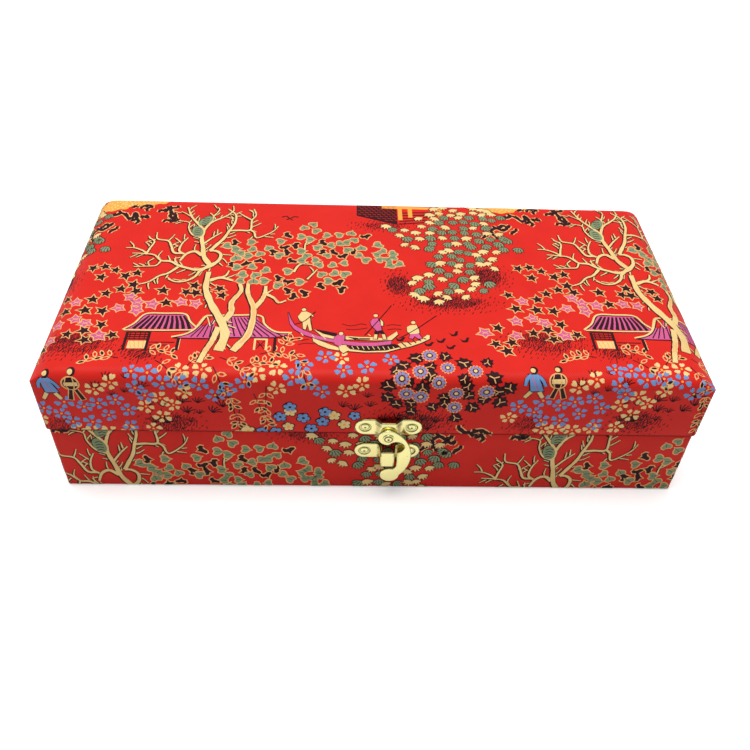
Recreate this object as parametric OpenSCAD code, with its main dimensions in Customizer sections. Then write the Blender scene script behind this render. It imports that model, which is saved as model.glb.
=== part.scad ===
// Brocade-covered keepsake box: a padded lid on a cloth hinge, closed by a swinging horn latch.
// Millimetres. The origin is the centre of the underside, the front faces -Y and up is +Z.

/* [Outside] */
// Width of the lid over its cloth
box_w = 260; // [200:1:320]
// Depth of the lid over its cloth
box_d = 123; // [100:1:180]
// Height of the base over its cloth
base_h = 34.8; // [30:0.2:60]
// Height of the lid's upright walls over the cloth
lid_h = 25.6; // [20:0.2:45]
// How far the lid stands past the base at the front and at each side
overhang = 0.7; // [0.2:0.1:2]
// Radius of the upright corners over the cloth
corner_r = 1.6; // [1:0.1:4]

/* [Lid top] */
// Rise of the soft edge roll above the upright walls
roll_rise = 5; // [3:0.5:8]
// Run of the roll inwards from the front and the back
roll_run = 5; // [5:0.5:12]
// Run of the roll inwards from each side, which draws the corners down
side_run = 12; // [8:1:20]
// Further rise of the padded top to its middle
crown = 1.2; // [0.5:0.1:4]

/* [Boards and cloth] */
// Thickness of the wall boards
board_t = 3.6; // [2.5:0.1:5]
// Thickness of the bottom board
bottom_t = 3; // [2:0.1:5]
// Thickness of the lid's top board
top_t = 3; // [2:0.1:5]
// Thickness of the glued brocade
cloth_t = 0.5; // [0.3:0.05:0.8]
// Thickness of the sheet glued over the bottom
sheet_t = 0.4; // [0.2:0.05:0.8]
// Distance from the base's outside to the edge of the bottom sheet
sheet_inset = 3; // [2:0.5:8]
// Width of the brocade turned under the bottom
turn_under = 12; // [8:1:20]
// Height of the brocade turned inside, behind the lining
turn_in = 12; // [8:1:16]

/* [Lining] */
// Thickness of the cards under the floor and the ceiling pads
card_t = 1.2; // [0.8:0.1:2]
// Thickness of the satin wall panels
panel_t = 1.8; // [1.2:0.1:3]
// Distance from each rim to the edge of its wall panels
panel_drop = 1; // [0.5:0.1:3]
// Height of the floor pad at its middle
floor_pad_h = 4; // [3:0.5:8]
// Height of the ceiling pad at its middle
ceiling_pad_h = 4; // [3:0.5:8]

/* [Cloth hinge] */
// Length of the strip along the back seam
hinge_w = 244; // [180:1:300]
// Width of the strip on each side of the seam
hinge_leaf_h = 13; // [8:0.5:20]

/* [Latch plates] */
// Distance of the latch to the right of the middle
latch_x = 5; // [-20:0.5:20]
// Length of both plates
plate_w = 26.8; // [22:0.2:32]
// Width of both plates
plate_h = 8.4; // [6.5:0.1:9.5]
// Thickness of the brass sheet
plate_t = 0.9; // [0.6:0.05:1.2]
// Height of the upper plate's middle above the seam
plate_up = 4.4; // [3.8:0.1:6]
// Distance of the keeper's middle below the seam
keeper_down = 10.3; // [8:0.1:12]
// Width of the upper plate's raised bridge
bridge_w = 5; // [4:0.1:6]
// Rise of the bridge from the cloth to its back face
bridge_rise = 2.1; // [1.8:0.1:3]
// Width of the keeper's staple
staple_w = 5.8; // [4:0.1:6.4]
// Reach of the staple from the base's cloth to its front face
staple_reach = 5.9; // [5:0.1:8]
// Radius of the round dimple pressed into a plate under each nail's head
dimple_r = 2.3; // [2:0.1:2.8]
// Depth of the dimples
dimple_deep = 0.3; // [0.1:0.05:0.5]

/* [Hook and rivet] */
// Height of the rivet above the seam
pivot_up = 2; // [1:0.1:3]
// Radius of the hook's round head
head_r = 4.2; // [3.6:0.1:4.8]
// Radius of the hook's round tip
tip_r = 4; // [2.4:0.1:4.4]
// Distance of the tip's middle to the right of the rivet
tip_right = 1.3; // [-1:0.1:2]
// Thickness of the hook
hook_t = 1.4; // [1:0.1:1.8]
// Distance of the bow's centre to the left of the rivet
bow_left = 8.5; // [7:0.1:10]
// Distance of the bow's centre below the rivet
bow_down = 11; // [9:0.1:12]
// Clearance between the staple's right side and the hook's mouth
mouth_gap = 0.9; // [0.5:0.1:1.2]
// Clearance between the staple's underside and the hook's tip
mouth_drop = 2.2; // [1:0.1:3]
// Radius of the pocket between the hook's head and its bow
pocket_r = 3.2; // [2.4:0.1:3.6]
// Distance of the pocket's middle to the right of the rivet
pocket_right = 3.4; // [2.8:0.1:4]
// Distance of the pocket's middle below the rivet
pocket_down = 5.6; // [5.4:0.1:7]
// Radius of the rivet's shank
rivet_r = 1.3; // [1:0.05:1.6]
// Radius of the rivet's domed head
rivet_head_r = 2.2; // [1.8:0.1:2.8]
// Radius of the nails' domed heads
nail_head_r = 1.8; // [1.3:0.1:2.4]
// Radius of the nails' shanks
nail_r = 0.7; // [0.5:0.05:0.9]

/* [Hidden] */
$fn = 64;
roll_steps = 6;            // flats in a padded edge
crown_steps = 6;           // flats from a pad's edge to its middle
seam_gap = 0.3;            // air between the two rims
play = 0.05;               // running clearance of the hook round its rivet
snug = 0.02;               // clearance of a nail in its hole
dome = 0.35;               // height of a domed head as a share of its radius
punch_r = 0.35;            // round mark in the middle of a domed head
punch_deep = 0.3;          // depth of that mark
nail_depth = 0.8;          // how far a nail goes into its board, as a share of the board
hook_lift = 0.1;           // air between the bridge and the hook
soft_edge = 0.4;           // rounding of the hook's outline
hook_flat = 0.65;          // upright part of the hook's edge as a share of its thickness
face_in = 0.32;            // how far the hook's face stays inside its outline
mouth_corner = 1.8;        // rounding of the mouth's inner corner
lobe_in = 0.5;             // how far the lobe under the bridge stays inside the hook's head
tail_in = 0.3;             // how much smaller the rivet's tail is than its head
pad_wall = 0.6;            // upright edge of a satin pad
pad_run = 9;               // run of a pad's edge roll
pad_crown = 0.8;           // crown of a pad above its roll
pad_corner = 3;            // radius of a pad's corners
pad_air = 0.3;             // air between a pad and the wall panels
least_r = 0.2;             // smallest corner radius of a drawn-in outline
overlap = 1;               // how far a cut runs past the face it opens

lid_z = base_h + seam_gap;                      // the lid's rim
hinge_y = box_d / 2 + cloth_t;                  // the hinge line on the outside of its strip
hinge_z = base_h + seam_gap / 2;
base_w = box_w - 2 * overhang;
base_d = box_d - overhang;                      // flush with the lid at the back
base_y = overhang / 2;
base_front = -box_d / 2 + overhang;
lid_front = -box_d / 2;
floor_z = sheet_t + cloth_t + bottom_t;         // top of the bottom board
wall_inset = cloth_t + board_t + cloth_t;       // outside to the face the lining is glued to
ceiling_z = lid_z + lid_h - cloth_t - top_t;    // underside of the lid's top board
plate_z = hinge_z + plate_up;
keeper_z = hinge_z - keeper_down;
pivot_z = hinge_z + pivot_up;
lobe_dx = (plate_w - plate_h) / 2;              // plate middle to the middle of its round end
hook_y = lid_front - bridge_rise - plate_t - hook_lift;
nail_len = plate_t - dimple_deep + cloth_t + board_t * nail_depth;
staple_low = pivot_up + keeper_down + plate_h / 2;        // rivet to the staple's underside
mouth_right = staple_w / 2 + mouth_gap;                   // rivet to the mouth's right side
mouth_down = staple_low + mouth_drop;
tip_down = mouth_down + tip_r;
bow_r = norm([bow_left, bow_down]) + head_r;              // the bow touches the head from outside
bow_start = head_r * bow_left / norm([bow_left, bow_down]);
pad_w = base_w - 2 * (wall_inset + panel_t + pad_air);
pad_d = base_d - 2 * (wall_inset + panel_t + pad_air);
lid_pad_w = box_w - 2 * (wall_inset + panel_t + pad_air);
lid_pad_d = box_d - 2 * (wall_inset + panel_t + pad_air);

// Colours as the photograph shows them, and plain ones for what is hidden.
brocade_red = [0.74, 0.09, 0.08];
brass = [0.86, 0.72, 0.3];
satin = [0.86, 0.68, 0.3];
board_brown = [0.62, 0.5, 0.36];
paper_red = [0.45, 0.1, 0.09];
sponge_white = [0.92, 0.9, 0.82];

// A rectangle with round corners, centred.
module rounded(w, d, r) {
    square([w - 2 * r, d], center = true);
    square([w, d - 2 * r], center = true);
    for (x = [-1, 1], y = [-1, 1])
        translate([x * (w / 2 - r), y * (d / 2 - r)]) circle(r);
}

// Outline of the lid or the base, drawn in from its outside by inset.
function drawn_in(r, inset) = max(r - inset, least_r);
module lid_outline(inset) rounded(box_w - 2 * inset, box_d - 2 * inset, drawn_in(corner_r, inset));
module base_outline(inset)
    translate([0, base_y]) rounded(base_w - 2 * inset, base_d - 2 * inset, drawn_in(corner_r, inset));

// Section of a padded panel: an upright edge, a soft roll and a slightly crowned top.
function arc(x, z, r, from, to, steps) =
    [for (i = [0:steps]) let (t = from + (to - from) * i / steps) [x + r * sin(t), z + r * cos(t)]];
module padded_profile(half, wall, rise, run, crown_h, inset) {
    roll_r = (run * run + rise * rise) / (2 * rise);
    roll_start = asin((run - inset) / (roll_r - inset));
    flat = half - run;
    crown_r = (flat * flat + crown_h * crown_h) / (2 * crown_h);
    crown_end = asin(flat / crown_r);
    side = concat([[half - inset, 0]],
        arc(flat, wall + rise - roll_r, roll_r - inset, roll_start, 0, roll_steps),
        arc(0, wall + rise + crown_h - crown_r, crown_r - inset,
            crown_end * (1 - 1 / crown_steps), 0, crown_steps));
    polygon(concat(side, [for (i = [len(side) - 2:-1:0]) [-side[i][0], side[i][1]]]));
}

// A padded panel standing on z = 0, w by d over its outside, with its corners drawn down.
module padded(w, d, wall, rise, run_x, run_y, crown_h, inset, r) {
    intersection() {
        translate([0, d / 2, 0]) rotate([90, 0, 0])
            linear_extrude(d) padded_profile(w / 2, wall, rise, run_x, crown_h, inset);
        translate([-w / 2, 0, 0]) rotate([90, 0, 90])
            linear_extrude(w) padded_profile(d / 2, wall, rise, run_y, crown_h, inset);
        linear_extrude(wall + rise + crown_h) rounded(w - 2 * inset, d - 2 * inset, drawn_in(r, inset));
    }
}

// The outside of the lid, drawn in by inset, standing on its rim.
module lid_form(inset)
    translate([0, 0, lid_z])
        padded(box_w, box_d, lid_h, roll_rise, side_run, roll_run, crown, inset, corner_r);

// Stands a flat drawing upright at y, its thickness t towards the front.
module upright(y, t) translate([0, y, 0]) rotate([90, 0, 0]) linear_extrude(t) children();

// Nail places on a plate at height z.
module at_nails(z) for (s = [-1, 1]) translate([latch_x + s * lobe_dx, 0, z]) children();

// A cylinder along Y from y_back to y_front, for holes and shanks.
module along_y(r, y_back, y_front)
    translate([0, y_back, 0]) rotate([90, 0, 0]) cylinder(r = r, h = y_back - y_front);

// A domed head on the plane y, bulging to the front, with a punch mark in its middle.
module domed_head(r, y) {
    h = r * dome;
    ball = (r * r + h * h) / (2 * h);
    difference() {
        intersection() {
            translate([0, y + ball - h, 0]) rotate([90, 0, 0]) sphere(ball);
            along_y(r, y, y - h);
        }
        along_y(punch_r, y - h + punch_deep, y - h - overlap);
    }
}

// Two nails through a plate that lies on the cloth plane y, their heads in its dimples.
module nails(y, z) at_nails(z) {
    head_y = y - plate_t + dimple_deep;
    domed_head(nail_head_r, head_y);
    along_y(nail_r, head_y + nail_len, head_y);
}

// The holes of two nails, through the plate, the cloth and into the board.
module nail_holes(y, z) at_nails(z) {
    head_y = y - plate_t + dimple_deep;
    along_y(nail_r + snug, head_y + nail_len + snug, head_y - overlap);
}

// The two dimples of a plate that lies on the cloth plane y.
module dimples(y, z) at_nails(z) along_y(dimple_r, y - plate_t + dimple_deep, y - plate_t - overlap);

// The four upright boards of a tray: long ones in front and behind, short ones between them.
module long_board(side, inset, z0, z1, w, d, y_mid) {
    y = y_mid + side * (d / 2 - inset - board_t / 2);
    translate([0, y, (z0 + z1) / 2]) cube([w - 2 * inset, board_t, z1 - z0], center = true);
}
module short_board(side, inset, z0, z1, w, d, y_mid) {
    x = side * (w / 2 - inset - board_t / 2);
    translate([x, y_mid, (z0 + z1) / 2]) cube([board_t, d - 2 * (inset + board_t), z1 - z0], center = true);
}

module base_long(side) {
    intersection() {
        long_board(side, cloth_t, floor_z, base_h - cloth_t, base_w, base_d, base_y);
        linear_extrude(base_h) base_outline(cloth_t);
    }
}
module base_short(side) short_board(side, cloth_t, floor_z, base_h - cloth_t, base_w, base_d, base_y);
module lid_long(side) {
    intersection() {
        long_board(side, cloth_t, lid_z + cloth_t, ceiling_z, box_w, box_d, 0);
        translate([0, 0, lid_z]) linear_extrude(lid_h) lid_outline(cloth_t);
    }
}
module lid_short(side) short_board(side, cloth_t, lid_z + cloth_t, ceiling_z, box_w, box_d, 0);

module base_bottom_board() color(board_brown)
    translate([0, 0, sheet_t + cloth_t]) linear_extrude(bottom_t) base_outline(cloth_t);
module base_front_board() color(board_brown) difference() {
    base_long(-1);
    nail_holes(base_front, keeper_z);
}
module base_back_board() color(board_brown) base_long(1);
module base_left_board() color(board_brown) base_short(-1);
module base_right_board() color(board_brown) base_short(1);

// The brocade wraps the walls, folds over the rim and down inside, and folds under the bottom.
module base_brocade() color(brocade_red) difference() {
    union() {
        difference() {
            translate([0, 0, sheet_t]) linear_extrude(base_h - sheet_t) base_outline(0);
            translate([0, 0, sheet_t + cloth_t])
                linear_extrude(base_h - sheet_t - 2 * cloth_t) base_outline(cloth_t);
            linear_extrude(base_h / 2) base_outline(turn_under);
            translate([0, 0, base_h / 2]) linear_extrude(base_h) base_outline(wall_inset);
        }
        translate([0, 0, base_h - turn_in]) linear_extrude(turn_in) difference() {
            base_outline(cloth_t + board_t);
            base_outline(wall_inset);
        }
    }
    nail_holes(base_front, keeper_z);
}

// The sheet lies over the edge of the turned-under brocade and fills the space inside it.
module underside_sheet() color(paper_red) {
    linear_extrude(sheet_t) base_outline(sheet_inset);
    linear_extrude(sheet_t + cloth_t) base_outline(turn_under);
}

// Wall panels of satin over thin foam, with a rounded free edge.
module panel(length, height, free_up) {
    r = panel_t / 2;
    translate([-length / 2, 0, 0]) rotate([90, 0, 90]) linear_extrude(length) {
        translate([-r, free_up ? 0 : r]) square([panel_t, height - r]);
        translate([0, free_up ? height - r : r]) circle(r);
    }
}
module base_panel_x(side) {
    y = base_y + side * (base_d / 2 - wall_inset - panel_t / 2);
    translate([0, y, floor_z]) panel(base_w - 2 * wall_inset, base_h - panel_drop - floor_z, true);
}
module base_panel_y(side) {
    x = side * (base_w / 2 - wall_inset - panel_t / 2);
    translate([x, base_y, floor_z]) rotate([0, 0, 90])
        panel(base_d - 2 * (wall_inset + panel_t), base_h - panel_drop - floor_z, true);
}
module lid_panel_x(side) {
    y = side * (box_d / 2 - wall_inset - panel_t / 2);
    translate([0, y, lid_z + panel_drop])
        panel(box_w - 2 * wall_inset, ceiling_z - lid_z - panel_drop, false);
}
module lid_panel_y(side) {
    x = side * (box_w / 2 - wall_inset - panel_t / 2);
    translate([x, 0, lid_z + panel_drop]) rotate([0, 0, 90])
        panel(box_d - 2 * (wall_inset + panel_t), ceiling_z - lid_z - panel_drop, false);
}
module base_lining_front() color(satin) base_panel_x(-1);
module base_lining_back() color(satin) base_panel_x(1);
module base_lining_left() color(satin) base_panel_y(-1);
module base_lining_right() color(satin) base_panel_y(1);
module lid_lining_front() color(satin) lid_panel_x(-1);
module lid_lining_back() color(satin) lid_panel_x(1);
module lid_lining_left() color(satin) lid_panel_y(-1);
module lid_lining_right() color(satin) lid_panel_y(1);

// A satin pad on its card, w by d, h high at the middle, with drawn-in edges.
module pad(w, d, h)
    padded(w, d, pad_wall, h - pad_wall - pad_crown, pad_run, pad_run, pad_crown, 0, pad_corner);
module base_floor_card() color(board_brown)
    translate([0, base_y, floor_z]) linear_extrude(card_t) rounded(pad_w, pad_d, pad_corner);
module base_floor_pad() color(satin) translate([0, base_y, floor_z + card_t]) pad(pad_w, pad_d, floor_pad_h);
module lid_lining_card() color(board_brown)
    translate([0, 0, ceiling_z - card_t]) linear_extrude(card_t) rounded(lid_pad_w, lid_pad_d, pad_corner);
module lid_lining_pad() color(satin)
    translate([0, 0, ceiling_z - card_t]) mirror([0, 0, 1]) pad(lid_pad_w, lid_pad_d, ceiling_pad_h);

module lid_top_board() color(board_brown)
    translate([0, 0, ceiling_z]) linear_extrude(top_t) lid_outline(cloth_t);
module lid_front_board() color(board_brown) difference() {
    lid_long(-1);
    nail_holes(lid_front, plate_z);
}
module lid_back_board() color(board_brown) lid_long(1);
module lid_left_board() color(board_brown) lid_short(-1);
module lid_right_board() color(board_brown) lid_short(1);

// The sponge fills the crowned form between the top board and the brocade.
module lid_sponge() color(sponge_white) difference() {
    lid_form(cloth_t);
    translate([-box_w, -box_d, 0]) cube([2 * box_w, 2 * box_d, ceiling_z + top_t]);
}

// The brocade covers the crowned top and the walls, folds under the rim and up inside.
module lid_brocade() color(brocade_red) difference() {
    union() {
        difference() {
            lid_form(0);
            difference() {
                lid_form(cloth_t);
                translate([-box_w, -box_d, 0]) cube([2 * box_w, 2 * box_d, lid_z + cloth_t]);
            }
            translate([0, 0, lid_z - overlap]) linear_extrude(2 * overlap) lid_outline(wall_inset);
        }
        translate([0, 0, lid_z]) linear_extrude(turn_in) difference() {
            lid_outline(cloth_t + board_t);
            lid_outline(wall_inset);
        }
    }
    nail_holes(lid_front, plate_z);
}

// The hinge is one strip of brocade glued over the back seam. It bends on its outer face.
module hinge_leaf(z) translate([-hinge_w / 2, box_d / 2, z]) cube([hinge_w, cloth_t, hinge_leaf_h]);
module hinge_cloth_base() color(brocade_red) hinge_leaf(hinge_z - hinge_leaf_h);
module hinge_cloth_lid() color(brocade_red) hinge_leaf(hinge_z);

// Front outline of a plate: a strip with round ends.
module plate_outline() {
    square([plate_w - plate_h, plate_h], center = true);
    for (s = [-1, 1]) translate([s * lobe_dx, 0]) circle(plate_h / 2);
}

// Sheet bent forward in its middle, seen from above: flat ears, two ramps and a bridge.
module bent_strip(flat_w, reach, ramp) {
    outer = flat_w / 2 + ramp;
    polygon([[-plate_w, 0], [-outer, 0], [-flat_w / 2, -reach + plate_t], [flat_w / 2, -reach + plate_t],
             [outer, 0], [plate_w, 0], [plate_w, -plate_t], [outer + plate_t * ramp / reach, -plate_t],
             [flat_w / 2 + plate_t / 2, -reach], [-flat_w / 2 - plate_t / 2, -reach],
             [-outer - plate_t * ramp / reach, -plate_t], [-plate_w, -plate_t]]);
}

// The upper plate. A round lobe under its bridge carries the rivet.
module latch_plate() color(brass) difference() {
    translate([latch_x, lid_front, plate_z]) union() {
        intersection() {
            translate([0, 0, -plate_h / 2])
                linear_extrude(plate_h) bent_strip(bridge_w, bridge_rise + plate_t, bridge_rise);
            upright(overlap, bridge_rise + plate_t + 2 * overlap) plate_outline();
        }
        translate([0, -bridge_rise, pivot_z - plate_z]) along_y(head_r - lobe_in, 0, -plate_t);
    }
    nail_holes(lid_front, plate_z);
    dimples(lid_front, plate_z);
    translate([latch_x, 0, pivot_z])
        along_y(rivet_r + snug, lid_front, lid_front - 2 * bridge_rise - plate_t);
}

// The keeper. Its staple stands through the hook's mouth.
module keeper_plate() color(brass) difference() {
    translate([latch_x, base_front, keeper_z]) intersection() {
        translate([0, 0, -plate_h / 2])
            linear_extrude(plate_h) bent_strip(staple_w - plate_t, staple_reach, plate_t);
        upright(overlap, staple_reach + 2 * overlap) plate_outline();
    }
    nail_holes(base_front, keeper_z);
    dimples(base_front, keeper_z);
}
module keeper_nails() color(brass) nails(base_front, keeper_z);
module latch_nails() color(brass) nails(lid_front, plate_z);

// The rivet is peened behind the bridge and domed in front of the hook.
module latch_rivet() color(brass) translate([latch_x, 0, pivot_z]) {
    front = hook_y - hook_t - hook_lift;
    along_y(rivet_r, lid_front - bridge_rise, front);
    domed_head(rivet_head_r, front);
    along_y(rivet_head_r - tail_in, lid_front - bridge_rise / 2, lid_front - bridge_rise);
}

// Outline of the hook about its rivet: head, bow, a pocket, a mouth for the staple and a round tip.
module hook_outline() {
    difference() {
        union() {
            circle(head_r);
            intersection() {
                translate([-bow_left, -bow_down]) circle(bow_r, $fn = 128);
                translate([bow_start, -tip_down]) square([bow_r, tip_down + bow_r]);
            }
        }
        translate([pocket_right, -pocket_down]) circle(pocket_r);
        translate([0, mouth_corner - mouth_down])
            square([mouth_right, mouth_down - mouth_corner - pocket_down]);
        translate([0, -mouth_down]) square([mouth_right - mouth_corner, mouth_down - pocket_down]);
        translate([mouth_right - mouth_corner, mouth_corner - mouth_down]) circle(mouth_corner);
    }
    translate([tip_right, -tip_down]) circle(tip_r);
}
module soft_outline(inset) offset(r = soft_edge - inset, $fn = 32) offset(delta = -soft_edge) hook_outline();

// The hook turns on the rivet. Its face stands a little inside its outline.
module latch_hook() color(brass) translate([latch_x, 0, pivot_z]) difference() {
    union() {
        upright(hook_y, hook_t * hook_flat) soft_outline(0);
        upright(hook_y, hook_t) soft_outline(face_in);
    }
    along_y(rivet_r + play, hook_y + overlap, hook_y - hook_t - overlap);
}

base_bottom_board();
base_front_board();
base_back_board();
base_left_board();
base_right_board();
base_brocade();
underside_sheet();
base_floor_card();
base_floor_pad();
base_lining_front();
base_lining_back();
base_lining_left();
base_lining_right();
keeper_plate();
keeper_nails();
hinge_cloth_base();
lid_top_board();
lid_front_board();
lid_back_board();
lid_left_board();
lid_right_board();
lid_sponge();
lid_brocade();
lid_lining_card();
lid_lining_pad();
lid_lining_front();
lid_lining_back();
lid_lining_left();
lid_lining_right();
latch_plate();
latch_nails();
latch_rivet();
hinge_cloth_lid();
latch_hook();
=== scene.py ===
import math
import random
from collections import namedtuple

import bmesh
import bpy
import numpy as np
from mathutils import Matrix, Vector


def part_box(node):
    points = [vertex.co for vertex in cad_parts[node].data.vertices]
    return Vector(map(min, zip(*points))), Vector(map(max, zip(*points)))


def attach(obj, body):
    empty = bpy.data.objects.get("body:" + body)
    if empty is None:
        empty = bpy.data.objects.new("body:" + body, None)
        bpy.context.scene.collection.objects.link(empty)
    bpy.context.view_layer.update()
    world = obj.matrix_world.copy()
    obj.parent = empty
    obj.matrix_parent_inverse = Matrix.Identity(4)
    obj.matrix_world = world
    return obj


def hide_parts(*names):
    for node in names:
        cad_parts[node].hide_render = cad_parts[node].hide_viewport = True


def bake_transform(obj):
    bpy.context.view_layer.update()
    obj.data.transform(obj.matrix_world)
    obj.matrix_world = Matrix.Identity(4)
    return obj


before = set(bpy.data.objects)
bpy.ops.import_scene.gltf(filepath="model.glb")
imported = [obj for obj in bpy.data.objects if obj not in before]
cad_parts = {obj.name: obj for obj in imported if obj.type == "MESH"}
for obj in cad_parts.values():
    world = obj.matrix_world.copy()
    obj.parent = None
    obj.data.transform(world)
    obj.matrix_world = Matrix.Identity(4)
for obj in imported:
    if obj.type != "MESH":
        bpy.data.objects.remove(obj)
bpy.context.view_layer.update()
scene = bpy.context.scene

# Studio: a white table that runs out past the picture, one large soft lamp hung over the box, and a
# bright even room round it. The camera stands where the photographer did.
CAMERA_PLACE = (-0.01204, -0.27745, 0.27327)
CAMERA_TURN = (46.34909669, -1.96487075, -0.97328737)
LENS, FILM_WIDTH = 38.58, 36
LAMP_PLACE, LAMP_AIM = (-0.12, 0.12, 1.9), (0, 0, 0.03)
LAMP_SIZE, LAMP_POWER = 1.6, 42
TABLE_HALF = 4
WHITE = (1, 1, 1, 1)


def put_in_scene(name, data):
    """An object that holds a mesh, a curve, a lamp or a camera."""
    made = bpy.data.objects.new(name, data)
    scene.collection.objects.link(made)
    return made


camera = put_in_scene("camera", bpy.data.cameras.new("camera"))
camera.location = CAMERA_PLACE
camera.rotation_euler = [math.radians(a) for a in CAMERA_TURN]
camera.data.lens = LENS
camera.data.sensor_width = FILM_WIDTH
camera.data.clip_start = 0.005
scene.camera = camera
scene.view_settings.view_transform = "Standard"

lamp = put_in_scene("soft_lamp_over", bpy.data.lights.new("soft_lamp_over", "AREA"))
lamp.data.shape = "DISK"
lamp.data.size = LAMP_SIZE
lamp.data.energy = LAMP_POWER
lamp.location = LAMP_PLACE
lamp.rotation_euler = (Vector(LAMP_AIM) - Vector(LAMP_PLACE)).to_track_quat("-Z", "Y").to_euler()


def node(tree, kind, inputs=None, **settings):
    """One shader or geometry node, with its inputs set to values or joined to other nodes' outputs."""
    made = tree.nodes.new(kind)
    for key, value in settings.items():
        setattr(made, key, value)
    for key, value in (inputs or {}).items():
        if isinstance(value, bpy.types.NodeSocket):
            tree.links.new(value, made.inputs[key])
        else:
            made.inputs[key].default_value = value
    return made


def finish(name, colour, roughness, **plain):
    """A material with its plain values on the shader's own sockets: the material, its tree and its shader."""
    material = bpy.data.materials.new(name)
    material.use_nodes = True
    shader = material.node_tree.nodes["Principled BSDF"]
    shader.inputs["Base Color"].default_value = (*colour, 1)
    shader.inputs["Roughness"].default_value = roughness
    for key, value in plain.items():
        shader.inputs[key.replace("_", " ")].default_value = value
    material.diffuse_color = (*colour, 1)
    return material, material.node_tree, shader


scene.world = bpy.data.worlds.new("room")
scene.world.use_nodes = True
room = scene.world.node_tree
room_light = room.nodes["Background"]
room_light.inputs["Color"].default_value = WHITE
path = node(room, "ShaderNodeLightPath")
glossy, direct = path.outputs["Is Glossy Ray"], path.outputs["Is Camera Ray"]
seen = node(room, "ShaderNodeMath", {0: glossy, 1: 0.35, 2: direct}, operation="MULTIPLY_ADD")
level = node(room, "ShaderNodeMapRange", {"Value": seen.outputs[0], "To Min": 0.2, "To Max": 1.0})
room.links.new(level.outputs[0], room_light.inputs["Strength"])

table_top = bpy.data.meshes.new("table")
table_top.from_pydata([(x * TABLE_HALF, y * TABLE_HALF, 0) for x, y in ((-1, -1), (1, -1), (1, 1), (-1, 1))],
                      [], [(0, 1, 2, 3)])
table = put_in_scene("table", table_top)
white, white_tree, white_shader = finish("white_table", (0.82, 0.82, 0.82), 0.9, Specular_IOR_Level=0.1)
direct = node(white_tree, "ShaderNodeLightPath").outputs["Is Camera Ray"]
shade = node(white_tree, "ShaderNodeMapRange", {"Value": direct, "To Min": 0.82, "To Max": 0.9})
white_tree.links.new(shade.outputs[0], white_shader.inputs["Base Color"])
where = node(white_tree, "ShaderNodeTexCoord").outputs["Object"]
away = node(white_tree, "ShaderNodeVectorMath", {0: where}, operation="LENGTH")
bright = node(white_tree, "ShaderNodeMapRange", {
    "Value": away.outputs["Value"], "From Min": 0.4, "From Max": 1.2, "To Min": 0.36, "To Max": 1.0})
glow = node(white_tree, "ShaderNodeMath", {0: bright.outputs[0], 1: direct}, operation="MULTIPLY")
white_shader.inputs["Emission Color"].default_value = WHITE
white_tree.links.new(glow.outputs[0], white_shader.inputs["Emission Strength"])
table_top.materials.append(white)

# Boards: the walls, the bottom and the lid's top are greyboard cut from one sheet, glued edge to
# edge. Brocade covers all of them, and their grey-brown pulp shows only where a part comes off.


def object_space(tree, scale=1000.0):
    """Object coordinates in millimetres, or in another unit."""
    where = node(tree, "ShaderNodeTexCoord")
    return node(tree, "ShaderNodeMapping", {0: where.outputs["Object"], 3: (scale, scale, scale)}).outputs[0]


def mix(tree, factor, first, second):
    """Two colours mixed by a factor: the colour output."""
    made = node(tree, "ShaderNodeMix", {0: factor}, data_type="RGBA")
    for key, value in ((6, first), (7, second)):
        if isinstance(value, bpy.types.NodeSocket):
            tree.links.new(value, made.inputs[key])
        else:
            made.inputs[key].default_value = (*value, 1)
    return made.outputs[2]


def bump(tree, shader, height, distance, strength=1.0):
    """Relief from a height, at a distance in metres."""
    made = node(tree, "ShaderNodeBump", {"Height": height, "Distance": distance, "Strength": strength})
    tree.links.new(made.outputs[0], shader.inputs["Normal"])


def pulp(name, dark, light, grain):
    """Pressed fibres: two scales of mottling and a matt, slightly rough face."""
    material, tree, shader = finish(name, light, 0.85)
    where = object_space(tree)
    fibres = node(tree, "ShaderNodeTexNoise", {
        "Vector": where, "Scale": grain, "Detail": 6.0, "Roughness": 0.7})
    clouds = node(tree, "ShaderNodeTexNoise", {"Vector": where, "Scale": 0.05, "Detail": 2.0})
    both = node(tree, "ShaderNodeMath", {0: fibres.outputs[0], 1: clouds.outputs[0]}, operation="MULTIPLY")
    spread = node(tree, "ShaderNodeMapRange", {"Value": both.outputs[0], "From Min": 0.12, "From Max": 0.42})
    tree.links.new(mix(tree, spread.outputs[0], dark, light), shader.inputs["Base Color"])
    bump(tree, shader, fibres.outputs[0], 0.00008)
    return material


def dress(names, material):
    """A finish for CAD nodes that stay."""
    for name in names:
        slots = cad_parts[name].data.materials
        slots.clear()
        slots.append(material)


greyboard = pulp("greyboard", (0.26, 0.19, 0.12), (0.45, 0.36, 0.25), 1.4)
lining_card = pulp("lining_card", (0.42, 0.36, 0.28), (0.62, 0.56, 0.46), 2.2)
underside_paper = pulp("underside_paper", (0.16, 0.012, 0.012), (0.26, 0.03, 0.025), 3.0)
SIDES = ("front", "back", "left", "right")
dress(["base_bottom_board", "lid_top_board"] + [tray + side + "_board" for tray in ("base_", "lid_")
                                                for side in SIDES], greyboard)
dress(["base_floor_card", "lid_lining_card"], lining_card)
dress(["underside_sheet"], underside_paper)

# Padding: a slab of white foam sponge, laid on the lid's top board. The brocade pulled over it holds
# it down and presses its edges, which gives the lid its soft crowned top.
sponge, sponge_tree, sponge_shader = finish("sponge", (0.85, 0.82, 0.7), 0.95)
cells = node(sponge_tree, "ShaderNodeTexVoronoi", {"Vector": object_space(sponge_tree), "Scale": 1.1})
foam_tone = mix(sponge_tree, cells.outputs["Distance"], (0.5, 0.46, 0.36), (0.9, 0.87, 0.76))
sponge_tree.links.new(foam_tone, sponge_shader.inputs["Base Color"])
bump(sponge_tree, sponge_shader, cells.outputs["Distance"], 0.0004)
dress(["lid_sponge"], sponge)

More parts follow.
